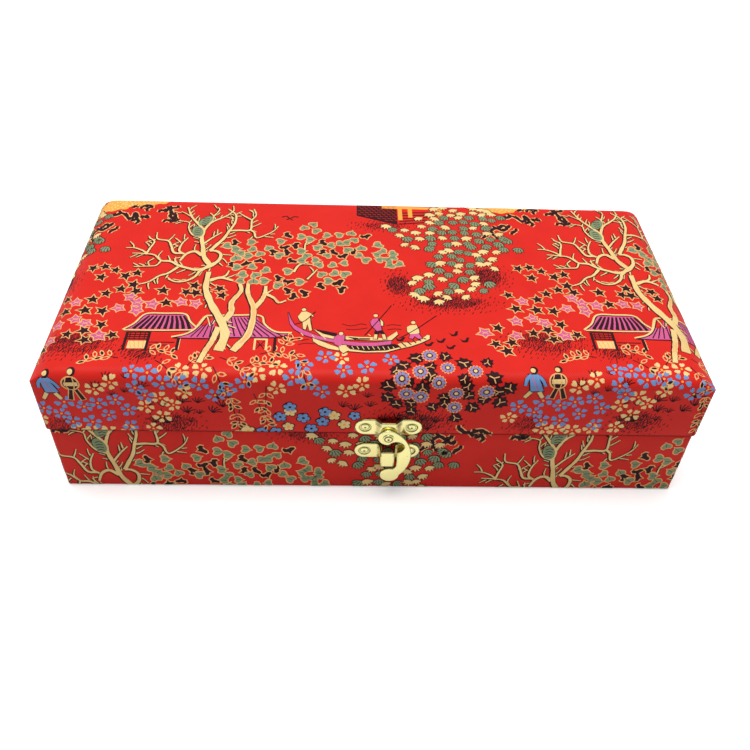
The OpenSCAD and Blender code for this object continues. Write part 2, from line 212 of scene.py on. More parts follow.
# Brocade: red satin with a slanting twill line, stretched over the boards and glued. One piece covers
# the lid's top and walls; a strip goes round the base's walls, over the rim and under the bottom.
MM = 0.001


def box_of(cad_node):
    """A CAD node's lowest and highest corners in millimetres."""
    return [[round(v / MM, 4) for v in corner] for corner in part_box(cad_node)]


lid_low, lid_high = box_of("lid_brocade")
base_low, base_high = box_of("base_brocade")
LID_HALF = lid_high[:2]
BASE_HALF = (base_high[0], (base_high[1] - base_low[1]) / 2)
BASE_Y = (base_high[1] + base_low[1]) / 2
LID_TOP, LID_RIM = lid_high[2], lid_low[2]
BASE_TOP, BASE_FOOT = base_high[2], base_low[2]
SEAM_Z = (LID_RIM + BASE_TOP) / 2
CROWN = 1.2  # how far the lid's top rises to its middle
EDGE_RISE, EDGE_RUN = 5.0, (12.0, 5.0)  # the rolled edge: its drop, and its width on the ends and the front
ROLL_STEPS, ARC_STEPS = 14, 4
CORNER = 1.6  # radius of the upright corners
WALL = 4.6  # a board with its cloth on both faces
TURNED = 12.0  # cloth turned in behind a rim
FOLD = 0.5  # radius of a fold round a board's edge
CLOTH = 0.42
CREASE = 0.5  # softness of the crease at the lid's top corners
SAME, SPECK = 0.00002, 0.000005  # points nearer than this are one, and shorter edges go, in metres

LidSection = namedtuple("LidSection", "used out drop inset wall_from")


def cloth_used(points):
    """The length of cloth from the first point of a section to each of them."""
    return np.concatenate([[0], np.cumsum(np.hypot(*np.diff(points, axis=0).T))])


def arc(centre, radius, start, end, steps):
    """Points on an arc in a section, after its first one."""
    angles = [math.radians(start + (end - start) * (i + 1) / steps) for i in range(steps)]
    return [(centre[0] + radius * math.cos(a), centre[1] + radius * math.sin(a)) for a in angles]


def lid_section(half, run):
    """From the middle of the lid's top over the soft edge, down the wall, round the rim and up inside."""
    flat = half - run
    crown_r = (flat ** 2 + CROWN ** 2) / (2 * CROWN)
    roll_r = (run ** 2 + EDGE_RISE ** 2) / (2 * EDGE_RISE)
    roll = np.radians(np.linspace(0, math.degrees(math.asin(run / roll_r)), ROLL_STEPS + 1)[1:])
    low = LID_TOP - LID_RIM
    points = [(x, crown_r - math.sqrt(crown_r ** 2 - x * x)) for x in np.linspace(0, flat, ROLL_STEPS + 1)]
    points += [(flat + roll_r * math.sin(a), CROWN + roll_r - roll_r * math.cos(a)) for a in roll]
    wall_from = len(points)
    points += [(half, z) for z in np.linspace(points[-1][1], low - FOLD, 6)[1:]]
    points += arc((half - FOLD, low - FOLD), FOLD, 0, 90, ARC_STEPS)
    points += [(half - WALL / 2, low), (half - WALL + FOLD, low)]
    points += arc((half - WALL + FOLD, low - FOLD), FOLD, 90, 180, ARC_STEPS)
    points += [(half - WALL, low - TURNED / 2), (half - WALL, low - TURNED)]
    points = np.array(points)
    inset = np.where(np.arange(len(points)) >= wall_from, points[wall_from - 1, 0] - points[:, 0], 0)
    return LidSection(cloth_used(points), points[:, 0], points[:, 1], inset, wall_from)


LID_X, LID_Y = (lid_section(half, run) for half, run in zip(LID_HALF, EDGE_RUN))
S_EDGE, T_EDGE = (way.used[way.wall_from - 1] for way in (LID_X, LID_Y))
LID_ENDS = LID_X.used[-1], LID_Y.used[-1]


def rounded_corner(x, y, half, inset):
    """Points of a sharp-cornered box pushed in to its round upright corners."""
    r = np.maximum(CORNER - inset, 0.2)
    dx = np.abs(x) - (half[0] - inset - r)
    dy = np.abs(y) - (half[1] - inset - r)
    near = (dx > 0) & (dy > 0)
    dx, dy = np.where(near, dx, 0), np.where(near, dy, 0)
    long = np.hypot(dx, dy)
    pull = np.where(near, np.maximum(dx, dy) / np.where(long > 0, long, 1), 1)
    return [np.where(near, np.sign(value) * (np.abs(value) - d + d * pull), value)
            for value, d in ((x, dx), (y, dy))]


def on_lid(s, t):
    """Where a point of the lid's sheet lies, from its flat place: s to the right and t to the back."""
    x, x_drop, x_in = (np.interp(np.abs(s), LID_X.used, way) for way in LID_X[1:4])
    y, y_drop, y_in = (np.interp(np.abs(t), LID_Y.used, way) for way in LID_Y[1:4])
    soft = CREASE ** 2 * x_drop * y_drop / (x_drop * y_drop + 1)
    drop = (x_drop + y_drop + np.sqrt((x_drop - y_drop) ** 2 + soft)) / 2
    x = np.sign(s) * x * (1 - y_in / LID_HALF[0])
    y = np.sign(t) * y * (1 - x_in / LID_HALF[1])
    x, y = rounded_corner(x, y, LID_HALF, np.maximum(x_in, y_in))
    return np.stack([x, y, LID_TOP - drop], axis=-1)


def base_section():
    """From inside the rim, over it, down the outer wall and under the bottom: cloth used, inset and drop."""
    low = BASE_TOP - BASE_FOOT
    inner, outer = arc((0, 0), FOLD, 0, 90, ARC_STEPS), arc((0, 0), FOLD, 90, 0, ARC_STEPS)
    points = [(WALL, TURNED), (WALL, TURNED / 2), (WALL, FOLD)]
    points += [(WALL - FOLD + x, FOLD - y) for x, y in inner]
    points += [(WALL / 2, 0), (FOLD, 0)]
    points += [(FOLD - x, FOLD - y) for x, y in outer]
    points += [(0, z) for z in np.linspace(FOLD, low - FOLD, 6)[1:]]
    points += [(FOLD - x, low - FOLD + y) for x, y in inner]
    points += [(TURNED / 2, low), (TURNED, low)]
    points = np.array(points)
    return cloth_used(points) - (TURNED + WALL - (4 - math.pi) * FOLD), points[:, 0], points[:, 1]


BASE_USED, BASE_IN, BASE_DROP = base_section()
ROUND = 2 * (BASE_HALF[0] + BASE_HALF[1])
FRONT_CORNER, BACK_CORNER = BASE_HALF[0], BASE_HALF[0] + 2 * BASE_HALF[1]


def on_base(u, v):
    """Where a point of the base's strip lies: u runs round from the front's middle, -v down the wall."""
    hx, hy = BASE_HALF
    inset, drop = (np.interp(-v, BASE_USED, way) for way in (BASE_IN, BASE_DROP))
    side, u_abs = np.sign(u), np.abs(u)
    back = u_abs > BACK_CORNER
    end_wall = (u_abs > FRONT_CORNER) & ~back
    front_x = np.where(end_wall, hx - inset, u_abs * (1 - inset / hx))
    x = np.where(back, (ROUND - u_abs) * (1 - inset / hx), front_x)
    front_y = np.where(end_wall, (u_abs - hx - hy) * (1 - inset / hy), inset - hy)
    y = np.where(back, hy - inset, front_y)
    x, y = rounded_corner(side * x, y, BASE_HALF, inset)
    return np.stack([x, y + BASE_Y, BASE_TOP - drop], axis=-1)


def off_cloth(place, a, b, height, reach=0.02):
    """Points at a height over a wrapped sheet, along its outward normal."""
    across = place(a + reach, b) - place(a - reach, b)
    along = place(a, b + reach) - place(a, b - reach)
    normal = np.cross(across, along)
    normal /= np.linalg.norm(normal, axis=-1, keepdims=True)
    return place(a, b) + normal * np.asarray(height)[..., None]


def both_ways(values):
    """Values from 0 up, and the same below 0."""
    return np.concatenate([-values[:0:-1], values])


def wrap(name, grids, place):
    """A sheet of cloth laid in rectangles of rows and columns; its UV is the place on the flat cloth."""
    bm = bmesh.new()
    uv = bm.loops.layers.uv.new("cloth")
    for columns, rows in grids:
        a, b = np.meshgrid(columns, rows)
        made = [[bm.verts.new(p * MM) for p in line] for line in place(a, b)]
        for j in range(len(rows) - 1):
            for i in range(len(columns) - 1):
                four = ((j, i), (j, i + 1), (j + 1, i + 1), (j + 1, i))
                face = bm.faces.new([made[r][c] for r, c in four])
                face.smooth = True
                for loop, (r, c) in zip(face.loops, four):
                    loop[uv].uv = (columns[c] / 10, rows[r] / 10)
    bmesh.ops.remove_doubles(bm, verts=bm.verts, dist=SAME)
    bmesh.ops.dissolve_degenerate(bm, edges=bm.edges, dist=SPECK)
    mesh = bpy.data.meshes.new(name)
    bm.to_mesh(mesh)
    bm.free()
    return put_in_scene(name, mesh)


def cloth_space(tree, turn=0.0):
    """The flat cloth's own coordinates in centimetres, turned in its plane."""
    flat = node(tree, "ShaderNodeUVMap", uv_map="cloth").outputs[0]
    return node(tree, "ShaderNodeMapping", {0: flat, 2: (0, 0, math.radians(turn))}).outputs[0]


def sums(tree, first, factor, added):
    """A value times a factor, plus another."""
    return node(tree, "ShaderNodeMath", {0: first, 1: factor, 2: added}, operation="MULTIPLY_ADD").outputs[0]


def seam_shade(tree):
    """Painted shade: 1 on most of the cloth, less on upright faces close to the seam between lid and base."""
    height = node(tree, "ShaderNodeSeparateXYZ", {0: object_space(tree)}).outputs[2]
    above = node(tree, "ShaderNodeMath", {0: height, 1: SEAM_Z}, operation="SUBTRACT").outputs[0]
    off_seam = node(tree, "ShaderNodeMath", {0: above}, operation="ABSOLUTE").outputs[0]
    # Painted shadow along the seam: darkest right at it, gone about a millimetre away.
    painted_seam_shadow = node(tree, "ShaderNodeMapRange", {
        "Value": off_seam, "From Min": 0.35, "From Max": 0.95, "To Min": 0.25, "To Max": 1.0}).outputs[0]
    facing = node(tree, "ShaderNodeSeparateXYZ", {0: node(tree, "ShaderNodeTexCoord").outputs["Normal"]})
    level = node(tree, "ShaderNodeMath", {0: facing.outputs[2]}, operation="ABSOLUTE").outputs[0]
    return node(tree, "ShaderNodeMath", {0: painted_seam_shadow, 1: level}, operation="MAXIMUM").outputs[0]


WAVE_PITCH = 0.314  # the Wave texture's scale for one wave in each unit


def satin_weave(name, dark, light, roughness, sheen, line, line_turn, thread):
    """Woven silk: a drifting tone, a twill line every line cm, threads every thread cm, and painted shade
    along the seam.
    """
    material, tree, shader = finish(name, light, roughness, Sheen_Weight=sheen, Sheen_Roughness=0.4,
                                    Specular_IOR_Level=0.08)
    shader.inputs["Sheen Tint"].default_value = (*[min(1, c * 1.4 + 0.1) for c in light], 1)
    drift = node(tree, "ShaderNodeTexNoise", {"Vector": cloth_space(tree), "Scale": 0.7, "Detail": 3.0})
    twill = node(tree, "ShaderNodeTexWave", {
        "Vector": cloth_space(tree, line_turn), "Scale": WAVE_PITCH / line, "Distortion": 1.2, "Detail": 2.0,
        "Detail Scale": 0.6}).outputs["Fac"]
    weft, warp = (node(tree, "ShaderNodeTexWave", {
        "Vector": cloth_space(tree, turn), "Scale": WAVE_PITCH / thread, "Distortion": 0.6,
        "Detail Scale": 0.4}).outputs["Fac"] for turn in (90, 0))
    tone = sums(tree, drift.outputs[0], 0.6, sums(tree, twill, 0.65, 0.02))
    shaded = node(tree, "ShaderNodeVectorMath", {0: mix(tree, tone, dark, light), "Scale": seam_shade(tree)},
                  operation="SCALE")
    tree.links.new(shaded.outputs[0], shader.inputs["Base Color"])
    cross = node(tree, "ShaderNodeMath", {0: weft, 1: warp}, operation="MULTIPLY")
    bump(tree, shader, sums(tree, cross.outputs[0], 0.6, twill), 0.00003, 0.7)
    return material


RED_SATIN = ((0.52, 0.013, 0.009), (0.76, 0.026, 0.017))
red_satin = satin_weave("red_satin", *RED_SATIN, 0.42, 0.02, 0.06, 34, 0.022)

corner_steps = CORNER * np.array([1, 0.8, 0.6, 0.45, 0.3, 0.15])
s_top, t_top = (both_ways(way.used[:way.wall_from]) for way in (LID_X, LID_Y))
s_wall, t_wall = (way.used[way.wall_from - 1:] for way in (LID_X, LID_Y))
s_corner = np.interp(LID_HALF[0] - corner_steps, LID_X.out[:LID_X.wall_from], LID_X.used[:LID_X.wall_from])
s_top = np.unique(np.round(np.concatenate([s_top, s_corner, -s_corner]), 4))
lid_cloth = wrap("lid_brocade_cloth", [(s_top, t_top), (s_top, t_wall), (s_top, -t_wall[::-1]),
                                       (s_wall, t_top), (-s_wall[::-1], t_top)], on_lid)


def wall_lines(start, end):
    """Columns along one wall, close together at the round corners."""
    inner = np.linspace(start + CORNER, end - CORNER, max(3, int((end - start) / 9)))[1:-1]
    return np.concatenate([start + CORNER - corner_steps, [start + CORNER], inner, [end - CORNER],
                           end - corner_steps[1:], [end]])


u_stops = [-ROUND, -BACK_CORNER, -FRONT_CORNER, FRONT_CORNER, BACK_CORNER, ROUND]
base_cloth = wrap("base_brocade_cloth", [(wall_lines(start, end), -BASE_USED[::-1])
                                         for start, end in zip(u_stops, u_stops[1:])], on_base)

for cloth, body in ((lid_cloth, "lid"), (base_cloth, "base")):
    cloth.data.materials.append(red_satin)
    shell = cloth.modifiers.new("thickness", "SOLIDIFY")
    shell.thickness = CLOTH * MM
    shell.offset = -1
    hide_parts(body + "_brocade")
    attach(cloth, body)

# Pattern: a landscape woven into the brocade in floating threads of eight colours, each a little
# proud of the satin. It is drawn once on the flat cloth, in mm: a to the right, b towards the front.
REPEAT = 183.0
FLOAT, LAYER = 0.03, 0.012  # height of the lowest threads, and of each layer over the one below
YARN_TONES = {
    "black": ((0.016, 0.004, 0.006), (0.040, 0.009, 0.011)),
    "gold": ((0.64, 0.27, 0.09), (0.92, 0.55, 0.23)),
    "ivory": ((0.60, 0.30, 0.09), (0.96, 0.75, 0.34)),
    "green": ((0.11, 0.15, 0.07), (0.29, 0.36, 0.20)),
    "pink": ((0.40, 0.03, 0.13), (0.76, 0.15, 0.35)),
    "blue": ((0.07, 0.14, 0.36), (0.21, 0.39, 0.68)),
    "orange": ((0.80, 0.26, 0.03), (0.98, 0.47, 0.08)),
    "red": RED_SATIN}
YARNS = {yarn: satin_weave(yarn + "_floats", *tones, 0.5, 0.02, 0.05, 0, 0.03)
         for yarn, tones in YARN_TONES.items()}
drawn = {yarn: [] for yarn in YARNS}


def patch(yarn, layer, points):
    """One flat area of a colour."""
    flat = np.array([(a, -b) for a, b in points], float)
    drawn[yarn].append((flat, [list(range(len(flat)))], layer))


def smooth_line(points, step=1.0):
    """A curve through the given points in steps of about a mm, and each new point's share of the way."""
    p = np.array(points, float)
    p = np.vstack([2 * p[0] - p[1], p, 2 * p[-1] - p[-2]])
    out = []
    for i in range(1, len(p) - 2):
        count = max(1, int(np.linalg.norm(p[i + 1] - p[i]) / step))
        for k in range(count):
            t = k / count
            out.append(0.5 * (2 * p[i] + (p[i + 1] - p[i - 1]) * t
                              + (2 * p[i - 1] - 5 * p[i] + 4 * p[i + 1] - p[i + 2]) * t * t
                              + (3 * p[i] - p[i - 1] - 3 * p[i + 1] + p[i + 2]) * t ** 3))
    out = np.array(out + [p[-2]])
    return out, np.linspace(0, 1, len(out))


def stroke(yarn, layer, points, start, end=None, shift=(0, 0), step=1.0, wobble=0.0):
    """A line of a colour whose width runs from start to end, and may swell and shrink on the way."""
    line, along = smooth_line(points, step)
    line = line * (1, -1) + (shift[0], -shift[1])
    way = np.gradient(line, axis=0)
    way /= np.linalg.norm(way, axis=1, keepdims=True) + 1e-9
    end = start if end is None else end
    width = start + (end - start) * along
    if wobble:
        width = width * (1 + wobble * np.sin(along * 40 + line[0, 0] * 3))
    side = np.stack([-way[:, 1], way[:, 0]], axis=1) * width[:, None] / 2
    n = len(line)
    drawn[yarn].append((np.vstack([line + side, line - side]),
                        [[i, n + i, n + i + 1, i + 1] for i in range(n - 1)], layer))


def circle(a, b, r, r2=None, turn=0.0, steps=12):
    """Points round an ellipse."""
    c, s = math.cos(math.radians(turn)), math.sin(math.radians(turn))
    r2 = r if r2 is None else r2
    angles = [2 * math.pi * i / steps for i in range(steps)]
    return [(a + r * math.cos(x) * c - r2 * math.sin(x) * s, b + r * math.cos(x) * s + r2 * math.sin(x) * c)
            for x in angles]


def sowing_tree():
    """Sets one motif on many places: scattered over areas at a spacing, or on given points."""
    tree = bpy.data.node_groups.new("sow_motif", "GeometryNodeTree")
    for name, kind in (("Ground", "Geometry"), ("Motif", "Object"), ("Scatter", "Bool"), ("Spacing", "Float"),
                       ("Seed", "Int"), ("Turn", "Float"), ("Turn Spread", "Float"), ("Size", "Float"),
                       ("Size Spread", "Float"), ("Share From", "Float"), ("Share To", "Float"),
                       ("Yarn", "Material")):
        tree.interface.new_socket(name=name, in_out="INPUT", socket_type="NodeSocket" + kind)
    tree.interface.new_socket(name="Sown", in_out="OUTPUT", socket_type="NodeSocketGeometry")
    given = tree.nodes.new("NodeGroupInput").outputs
    area = node(tree, "ShaderNodeMath", {0: given["Spacing"], 1: given["Spacing"]}, operation="MULTIPLY")
    crowd = node(tree, "ShaderNodeMath", {0: 6.0, 1: area.outputs[0]}, operation="DIVIDE")
    scattered = node(tree, "GeometryNodeDistributePointsOnFaces",
                     {"Mesh": given["Ground"], "Distance Min": given["Spacing"],
                      "Density Max": crowd.outputs[0], "Seed": given["Seed"]}, distribute_method="POISSON")
    placed = node(tree, "GeometryNodeMeshToPoints", {"Mesh": given["Ground"]})
    points = node(tree, "GeometryNodeSwitch", {"Switch": given["Scatter"], "False": placed.outputs[0],
                                               "True": scattered.outputs["Points"]}, input_type="GEOMETRY")

    def chance(offset, low, high):
        """A random number for each point."""
        seed = node(tree, "ShaderNodeMath", {0: given["Seed"], 1: float(offset)})
        made = node(tree, "FunctionNodeRandomValue", {"Seed": seed.outputs[0]}, data_type="FLOAT")
        for key, value in ((2, low), (3, high)):
            made.inputs[key].default_value = value
        return made.outputs[1]

    draw = chance(11, 0.0, 1.0)
    above = node(tree, "FunctionNodeCompare", {0: draw, 1: given["Share From"]}, operation="GREATER_EQUAL")
    below = node(tree, "FunctionNodeCompare", {0: draw, 1: given["Share To"]}, operation="LESS_THAN")
    share = {0: above.outputs[0], 1: below.outputs[0]}
    picked = node(tree, "FunctionNodeBooleanMath", share, operation="AND")
    turn = sums(tree, chance(12, -1.0, 1.0), given["Turn Spread"], given["Turn"])
    turned = node(tree, "ShaderNodeCombineXYZ", {2: turn})
    size = sums(tree, chance(13, -1.0, 1.0), given["Size Spread"], given["Size"])
    motif = node(tree, "GeometryNodeObjectInfo", {"Object": given["Motif"]})
    laid = node(tree, "GeometryNodeInstanceOnPoints", {
        "Points": points.outputs[0], "Selection": picked.outputs[0], "Instance": motif.outputs["Geometry"],
        "Rotation": turned.outputs[0], "Scale": size})
    real = node(tree, "GeometryNodeRealizeInstances", {0: laid.outputs[0]})
    inked = node(tree, "GeometryNodeSetMaterial", {"Geometry": real.outputs[0], "Material": given["Yarn"]})
    tree.links.new(inked.outputs[0], tree.nodes.new("NodeGroupOutput").inputs[0])
    return tree


SOW = sowing_tree()
SOW_SOCKETS = {s.name: s.identifier for s in SOW.interface.items_tree if s.in_out == "INPUT"}


def flat_object(name, pieces):
    """A flat mesh of outlines, or of loose points."""
    mesh = bpy.data.meshes.new(name)
    points, faces = [], []
    for outline in pieces:
        if len(outline) > 1:
            faces.append(list(range(len(points), len(points) + len(outline))))
        points += [(x, y, 0) for x, y in outline]
    mesh.from_pydata(points, [], faces)
    return put_in_scene(name, mesh)


def grow(soil, **inputs):
    """The mesh that the sowing tree makes on an object; its inputs are named with _ for a space."""
    growth = soil.modifiers.new("sow", "NODES")
    growth.node_group = SOW
    for key, value in inputs.items():
        growth[SOW_SOCKETS[key.replace("_", " ")]] = value
    made = bpy.data.meshes.new_from_object(soil.evaluated_get(bpy.context.evaluated_depsgraph_get()))
    soil.modifiers.clear()
    return made


def sow(yarn, layer, motif, ground, spacing, seed, turn=0.0, turn_spread=0.0, size=1.0, size_spread=0.0,
        share=(0.0, 1.01)):
    """A motif's outlines, sown in one colour over blots (a, b, radius, radius) or on points (a, b)."""
    scatter = len(ground[0]) == 4
    places = [circle(*blot, steps=20) for blot in ground] if scatter else [[place] for place in ground]
    soil = flat_object("soil", [[(a, -b) for a, b in place] for place in places])
    seedling = flat_object("seedling", motif)
    crop = grow(soil, Motif=seedling, Scatter=scatter, Spacing=spacing, Seed=seed, Turn=math.radians(turn),
                Turn_Spread=math.radians(turn_spread), Size=size, Size_Spread=size_spread,
                Share_From=share[0], Share_To=share[1], Yarn=YARNS[yarn])
    flat = np.array([v.co[:2] for v in crop.vertices], float).reshape(-1, 2)
    drawn[yarn].append((flat, [list(p.vertices) for p in crop.polygons], layer))
    for mesh in (soil.data, seedling.data, crop):
        bpy.data.meshes.remove(mesh)


def widened(outline, by):
    """An outline drawn by a set distance outside another, about its middle."""
    p = np.array(outline, float)
    size = np.linalg.norm(p, axis=1, keepdims=True)
    return [tuple(q) for q in p * (size + by) / np.maximum(size, 0.01)]


def outlined(motif, edge_yarn, edge, layer, fills, ground, seed, spacing=1.0, **how):
    """A motif with an outline in one colour and fills in others, each with its share of the places."""
    sow(edge_yarn, layer, [widened(outline, edge) for outline in motif], ground, spacing, seed, **how)
    low = 0.0
    for yarn, share in fills:
        sow(yarn, layer + 1, motif, ground, spacing, seed, share=(low, low + share + 0.001), **how)
        low += share


rng = random.Random(11)

# Ground shading: short dark threads, thick at the middle of a bank and thin towards its edge. Each
# bank is sown three times over, its wide sowing sparse and its narrow one close.
dash = [[(-0.14, -0.6), (0.14, -0.5), (0.14, 0.6), (-0.14, 0.5)]]
BANKS = [
    (9, 66, 6, 8), (49, 60, 9, 9), (-116, 107, 18, 7), (-90, 111, 9, 5), (30, 79, 20, 6), (-80, 147, 12, 7),
    (4, 22, 14, 4), (14, 144, 18, 7), (60, 145, 9, 5)]
for seed, (a, b, ra, rb) in enumerate(BANKS, 21):
    for k, spacing in ((1.2, 1.9), (0.85, 1.15), (0.55, 0.7)):
        sow("black", 0, dash, [(a, b, ra * k, rb * k)], spacing, seed, turn=-20, turn_spread=22,
            size_spread=0.35)
sow("black", 0, dash, [(10, 68, 5, 6), (48, 61, 6, 6), (-115, 103, 15, 2.4), (30, 78, 14, 3)], 0.62, 31,
    turn=-15, turn_spread=25, size_spread=0.3)

# A bare old tree: ivory limbs with a dark edge, and combs of fine twigs along them. The list gives each
# limb's width at its start and end and its points; what starts in front of GROUND_B is a trunk.
GROUND_B = 67
LIMBS = [
    (1.9, 3.3, [(-71, 60), (-71, 66), (-70.5, 72.5), (-67, 82), (-63.5, 89), (-61, 94.5), (-59.5, 101),
                (-61, 109.5)]),
    (2.4, 2.0, [(-62.5, 96), (-64, 104), (-66, 110), (-67.5, 116)]),
    (1.5, 2.8, [(-57, 68), (-56, 73), (-59, 80.5), (-58.5, 86.5), (-60.5, 92)]),
    (1.6, 3.0, [(-53.5, 68), (-53, 74.5), (-50, 83.5), (-49.5, 91.5), (-50.5, 100), (-53, 105),
                (-55.5, 109.5)]),
    (1.3, 2.4, [(-46, 69.5), (-46, 74.5), (-47, 79), (-49.5, 84)]),
    (1.5, 0.8, [(-46, 74.5), (-42, 77.5), (-40, 80.5), (-37, 79)]),
    (1.9, 0.9, [(-70, 66), (-66, 64), (-63.5, 64.5), (-60, 66)]),
    (1.1, 0.6, [(-66, 64), (-63.5, 62.5), (-62.5, 59)]),
    (1, 0.5, [(-46, 75), (-43, 72)]),
    (2.2, 0.6, [(-71.5, 54.5), (-74.5, 49), (-76, 41.5), (-77.5, 34.5), (-77.5, 28.5), (-81, 22.5),
                (-84.5, 17), (-87.5, 8.5)]),
    (1.4, 0.5, [(-77.5, 28.5), (-75, 22), (-71.5, 18.5), (-68, 15), (-65.5, 10.5)]),
    (0.9, 0.5, [(-75, 22), (-74.5, 16.5), (-76.5, 13.5)]),
    (0.8, 0.4, [(-74.5, 16.5), (-72.5, 10.5), (-73.5, 8)]),
    (1.7, 0.5, [(-72.5, 44.5), (-70, 39.5), (-67.5, 34.5), (-66, 29), (-64, 21.5), (-64.5, 14.5),
                (-68.5, 9.5)]),
    (1, 0.5, [(-76, 39), (-72.5, 34), (-69, 30)]),
    (1.2, 0.5, [(-66, 28.5), (-61.5, 28), (-56.5, 27.5), (-56.5, 19.5), (-55, 14.5), (-56.5, 9)]),
    (0.8, 0.4, [(-56.5, 19), (-60.5, 15.5), (-63, 13)]),
    (1, 0.4, [(-56.5, 27.5), (-54.5, 29.5), (-53, 34), (-48, 30.5), (-45.5, 27.5), (-44, 24)]),
    (1.2, 1.5, [(-72.5, 44.5), (-70, 44.5), (-67.5, 47), (-68, 52), (-71.5, 55.5), (-75, 59.5)]),
    (1.7, 0.9, [(-75.5, 48), (-79, 45), (-82.5, 47), (-84.5, 52)]),
    (1.1, 0.5, [(-83.5, 47), (-86, 44.5), (-85.5, 39), (-83.5, 34.5)]),
    (1.2, 0.5, [(-84.5, 46.5), (-88, 46), (-90, 41), (-92, 37), (-97, 35.5), (-98, 30.5)]),
    (1, 0.5, [(-100, 47.5), (-99, 42.5), (-98, 37.5), (-101, 34.5)]),
    (0.9, 0.4, [(-99.5, 47), (-102, 44.5), (-106, 42.5), (-109.5, 42.5)]),
    (1.7, 0.5, [(-68, 52), (-71, 56), (-76, 58.5), (-80, 57.5), (-84.5, 55.5), (-88.5, 52.5),
                (-92.5, 52), (-96, 48), (-99.5, 47), (-106, 46.5)]),
    (0.8, 0.4, [(-92.5, 52), (-94, 55.5), (-96.5, 56), (-103.5, 56.5)]),
    (0.6, 0.5, [(-96, 50.5), (-98, 53), (-97, 55.5)]),
    (1.3, 0.5, [(-75, 59.5), (-76.5, 63.5), (-80, 66.5), (-84, 67), (-87.5, 65)]),
    (1.3, 0.5, [(-84.5, 56.5), (-88, 61), (-91.5, 63), (-95, 67), (-99, 69)]),
    (0.9, 0.4, [(-77.5, 34.5), (-82, 32), (-84.5, 26.5), (-85, 22), (-90, 20.5)]),
    (0.7, 0.4, [(-84.5, 17), (-88.5, 13.5), (-90, 12.5)]),
    (1.1, 0.6, [(-35, 59.5), (-33, 54.5), (-29, 52)]),
    (0.9, 0.5, [(-29, 64.5), (-25, 57.5)]),
    (0.7, 0.5, [(-31, 45.5), (-31, 39), (-30, 35.5)])]


def limb(start, end, points, layer=4):
    """A limb over its wider dark edge."""
    stroke("black", layer, points, start + 0.95, end + 0.55, shift=(-0.16, 0.2))
    stroke("ivory", layer + 1, points, start, end, wobble=0.08)


for number, (start, end, points) in enumerate(LIMBS):
    if points[0][1] > GROUND_B and len(points) > 3:
        limb(start, end, points)
        for k in (-0.28, 0.02, 0.3):
            stroke("gold", 6, [(a + k * start, b) for a, b in points[1:-1]], 0.3, 0.42)
        continue
    limb(1.05 * start, 1.15 * end, points)
    line, _ = smooth_line(points, 2.3)
    for i in range(2, len(line) - 1):
        if rng.random() < 0.12:
            continue
        way = line[i] - line[i - 1]
        side = 1 if (number + i // 6) % 2 else -1
        turn = math.atan2(way[1], way[0]) + side * rng.uniform(0.6, 0.95)
        length = rng.uniform(2.6, 5.4)
        bend = turn + rng.uniform(-0.4, 0.4)
        mid = line[i] + 0.5 * length * np.array([math.cos(turn), math.sin(turn)])
        tip = mid + 0.6 * length * np.array([math.cos(bend), math.sin(bend)])
        limb(0.72, 0.4, [tuple(line[i]), tuple(mid), tuple(tip)], 2)
for a, b, turn in ((-77.5, 20.5, 30), (-80, 29.5, -15)):
    patch("black", 5, circle(a, b, 2.9, 4.9, turn, 16))
    patch("green", 6, circle(a, b, 2.5, 4.4, turn, 16))
    for k in (-2.4, -0.8, 0.8, 2.4):
        stroke("black", 7, [(a - 1.5, b + k + 0.7), (a, b + k), (a + 1.5, b + k + 0.5)], 0.42)

# Leaves: pointed hearts on the tree, lobed ivy on the hanging vine, stars by the water. Each is a
# patch of one yarn over a slightly wider patch of another, which shows as its edge.
spade = [[(0, 2.8), (0.5, 1.6), (1.5, 1.0), (2.3, 0), (2.2, -1.1), (1.3, -1.8), (0.3, -1.2), (-0.3, -1.2),
          (-1.3, -1.8), (-2.2, -1.1), (-2.3, 0), (-1.5, 1.0), (-0.5, 1.6)]]
torn = [[(0, 1.3), (1.1, 2.2), (2.5, 2.0), (2.9, 0.9), (1.8, 0), (1.0, -0.9), (0.5, -2.4), (-0.4, -0.9),
         (-1.9, -1.1), (-2.8, 0.5), (-2.1, 1.8), (-1.0, 1.0)]]
midrib = [[(-0.16, -0.9), (0.16, -0.9), (0.1, 1.5), (-0.1, 1.5)]]
TREE_GREEN = [
    (-28, 22), (-32, 25), (-26.5, 27.5), (-33, 32.5), (-29, 34.5), (-21.5, 31), (-16, 30.5), (-10.5, 29),
    (-15.5, 37.5), (-12.5, 36.5), (-9, 34.5), (-42, 36.5), (-55, 37.5), (-47, 42), (-61.5, 43), (-54, 43),
    (-32.5, 44), (-25.5, 41), (-19.5, 39), (-59, 46), (-50.5, 46.5), (-55.5, 48), (-42, 47.5), (-12, 42.5),
    (-6, 41), (1.5, 38), (3.5, 43), (-7, 46.5), (-4, 50), (2, 49.5), (5.5, 49.5), (-60.5, 50), (-30, 47.5),
    (-32, 51), (-26, 50.5), (-21, 47), (-24.5, 54), (-18.5, 54), (-13.5, 52.5), (-59.5, 56.5), (-53, 56),
    (-47, 58.5), (-37.5, 59), (-23, 61), (-17.5, 60), (-13, 60.5), (-56.5, 61.5), (-51, 62), (-57, 66),
    (-51.5, 66.5), (-47, 66), (-41, 69), (-32, 66.5), (-20, 65.5), (-65.5, 40.5), (8, 44.5), (8, 47.5),
    (1, 45.5), (10.5, 52.5), (6.5, 53.5)]
TREE_BLACK = [
    (-39.5, 31.5), (-35.5, 39.5), (-40, 41.5), (-44.5, 45), (-38.5, 45.5), (-36.5, 51.5), (-23.5, 37),
    (-23, 45), (-18.5, 44.5), (-14, 47.5), (-9.5, 43), (-4, 31.5), (-62, 38), (-55.5, 53.5), (-50, 51.5),
    (-62, 55), (-41, 64), (-37, 66.5), (-23.5, 69), (-16, 67), (-14.5, 71), (-36.5, 72.5), (-29.5, 74),
    (-34, 76.5)]
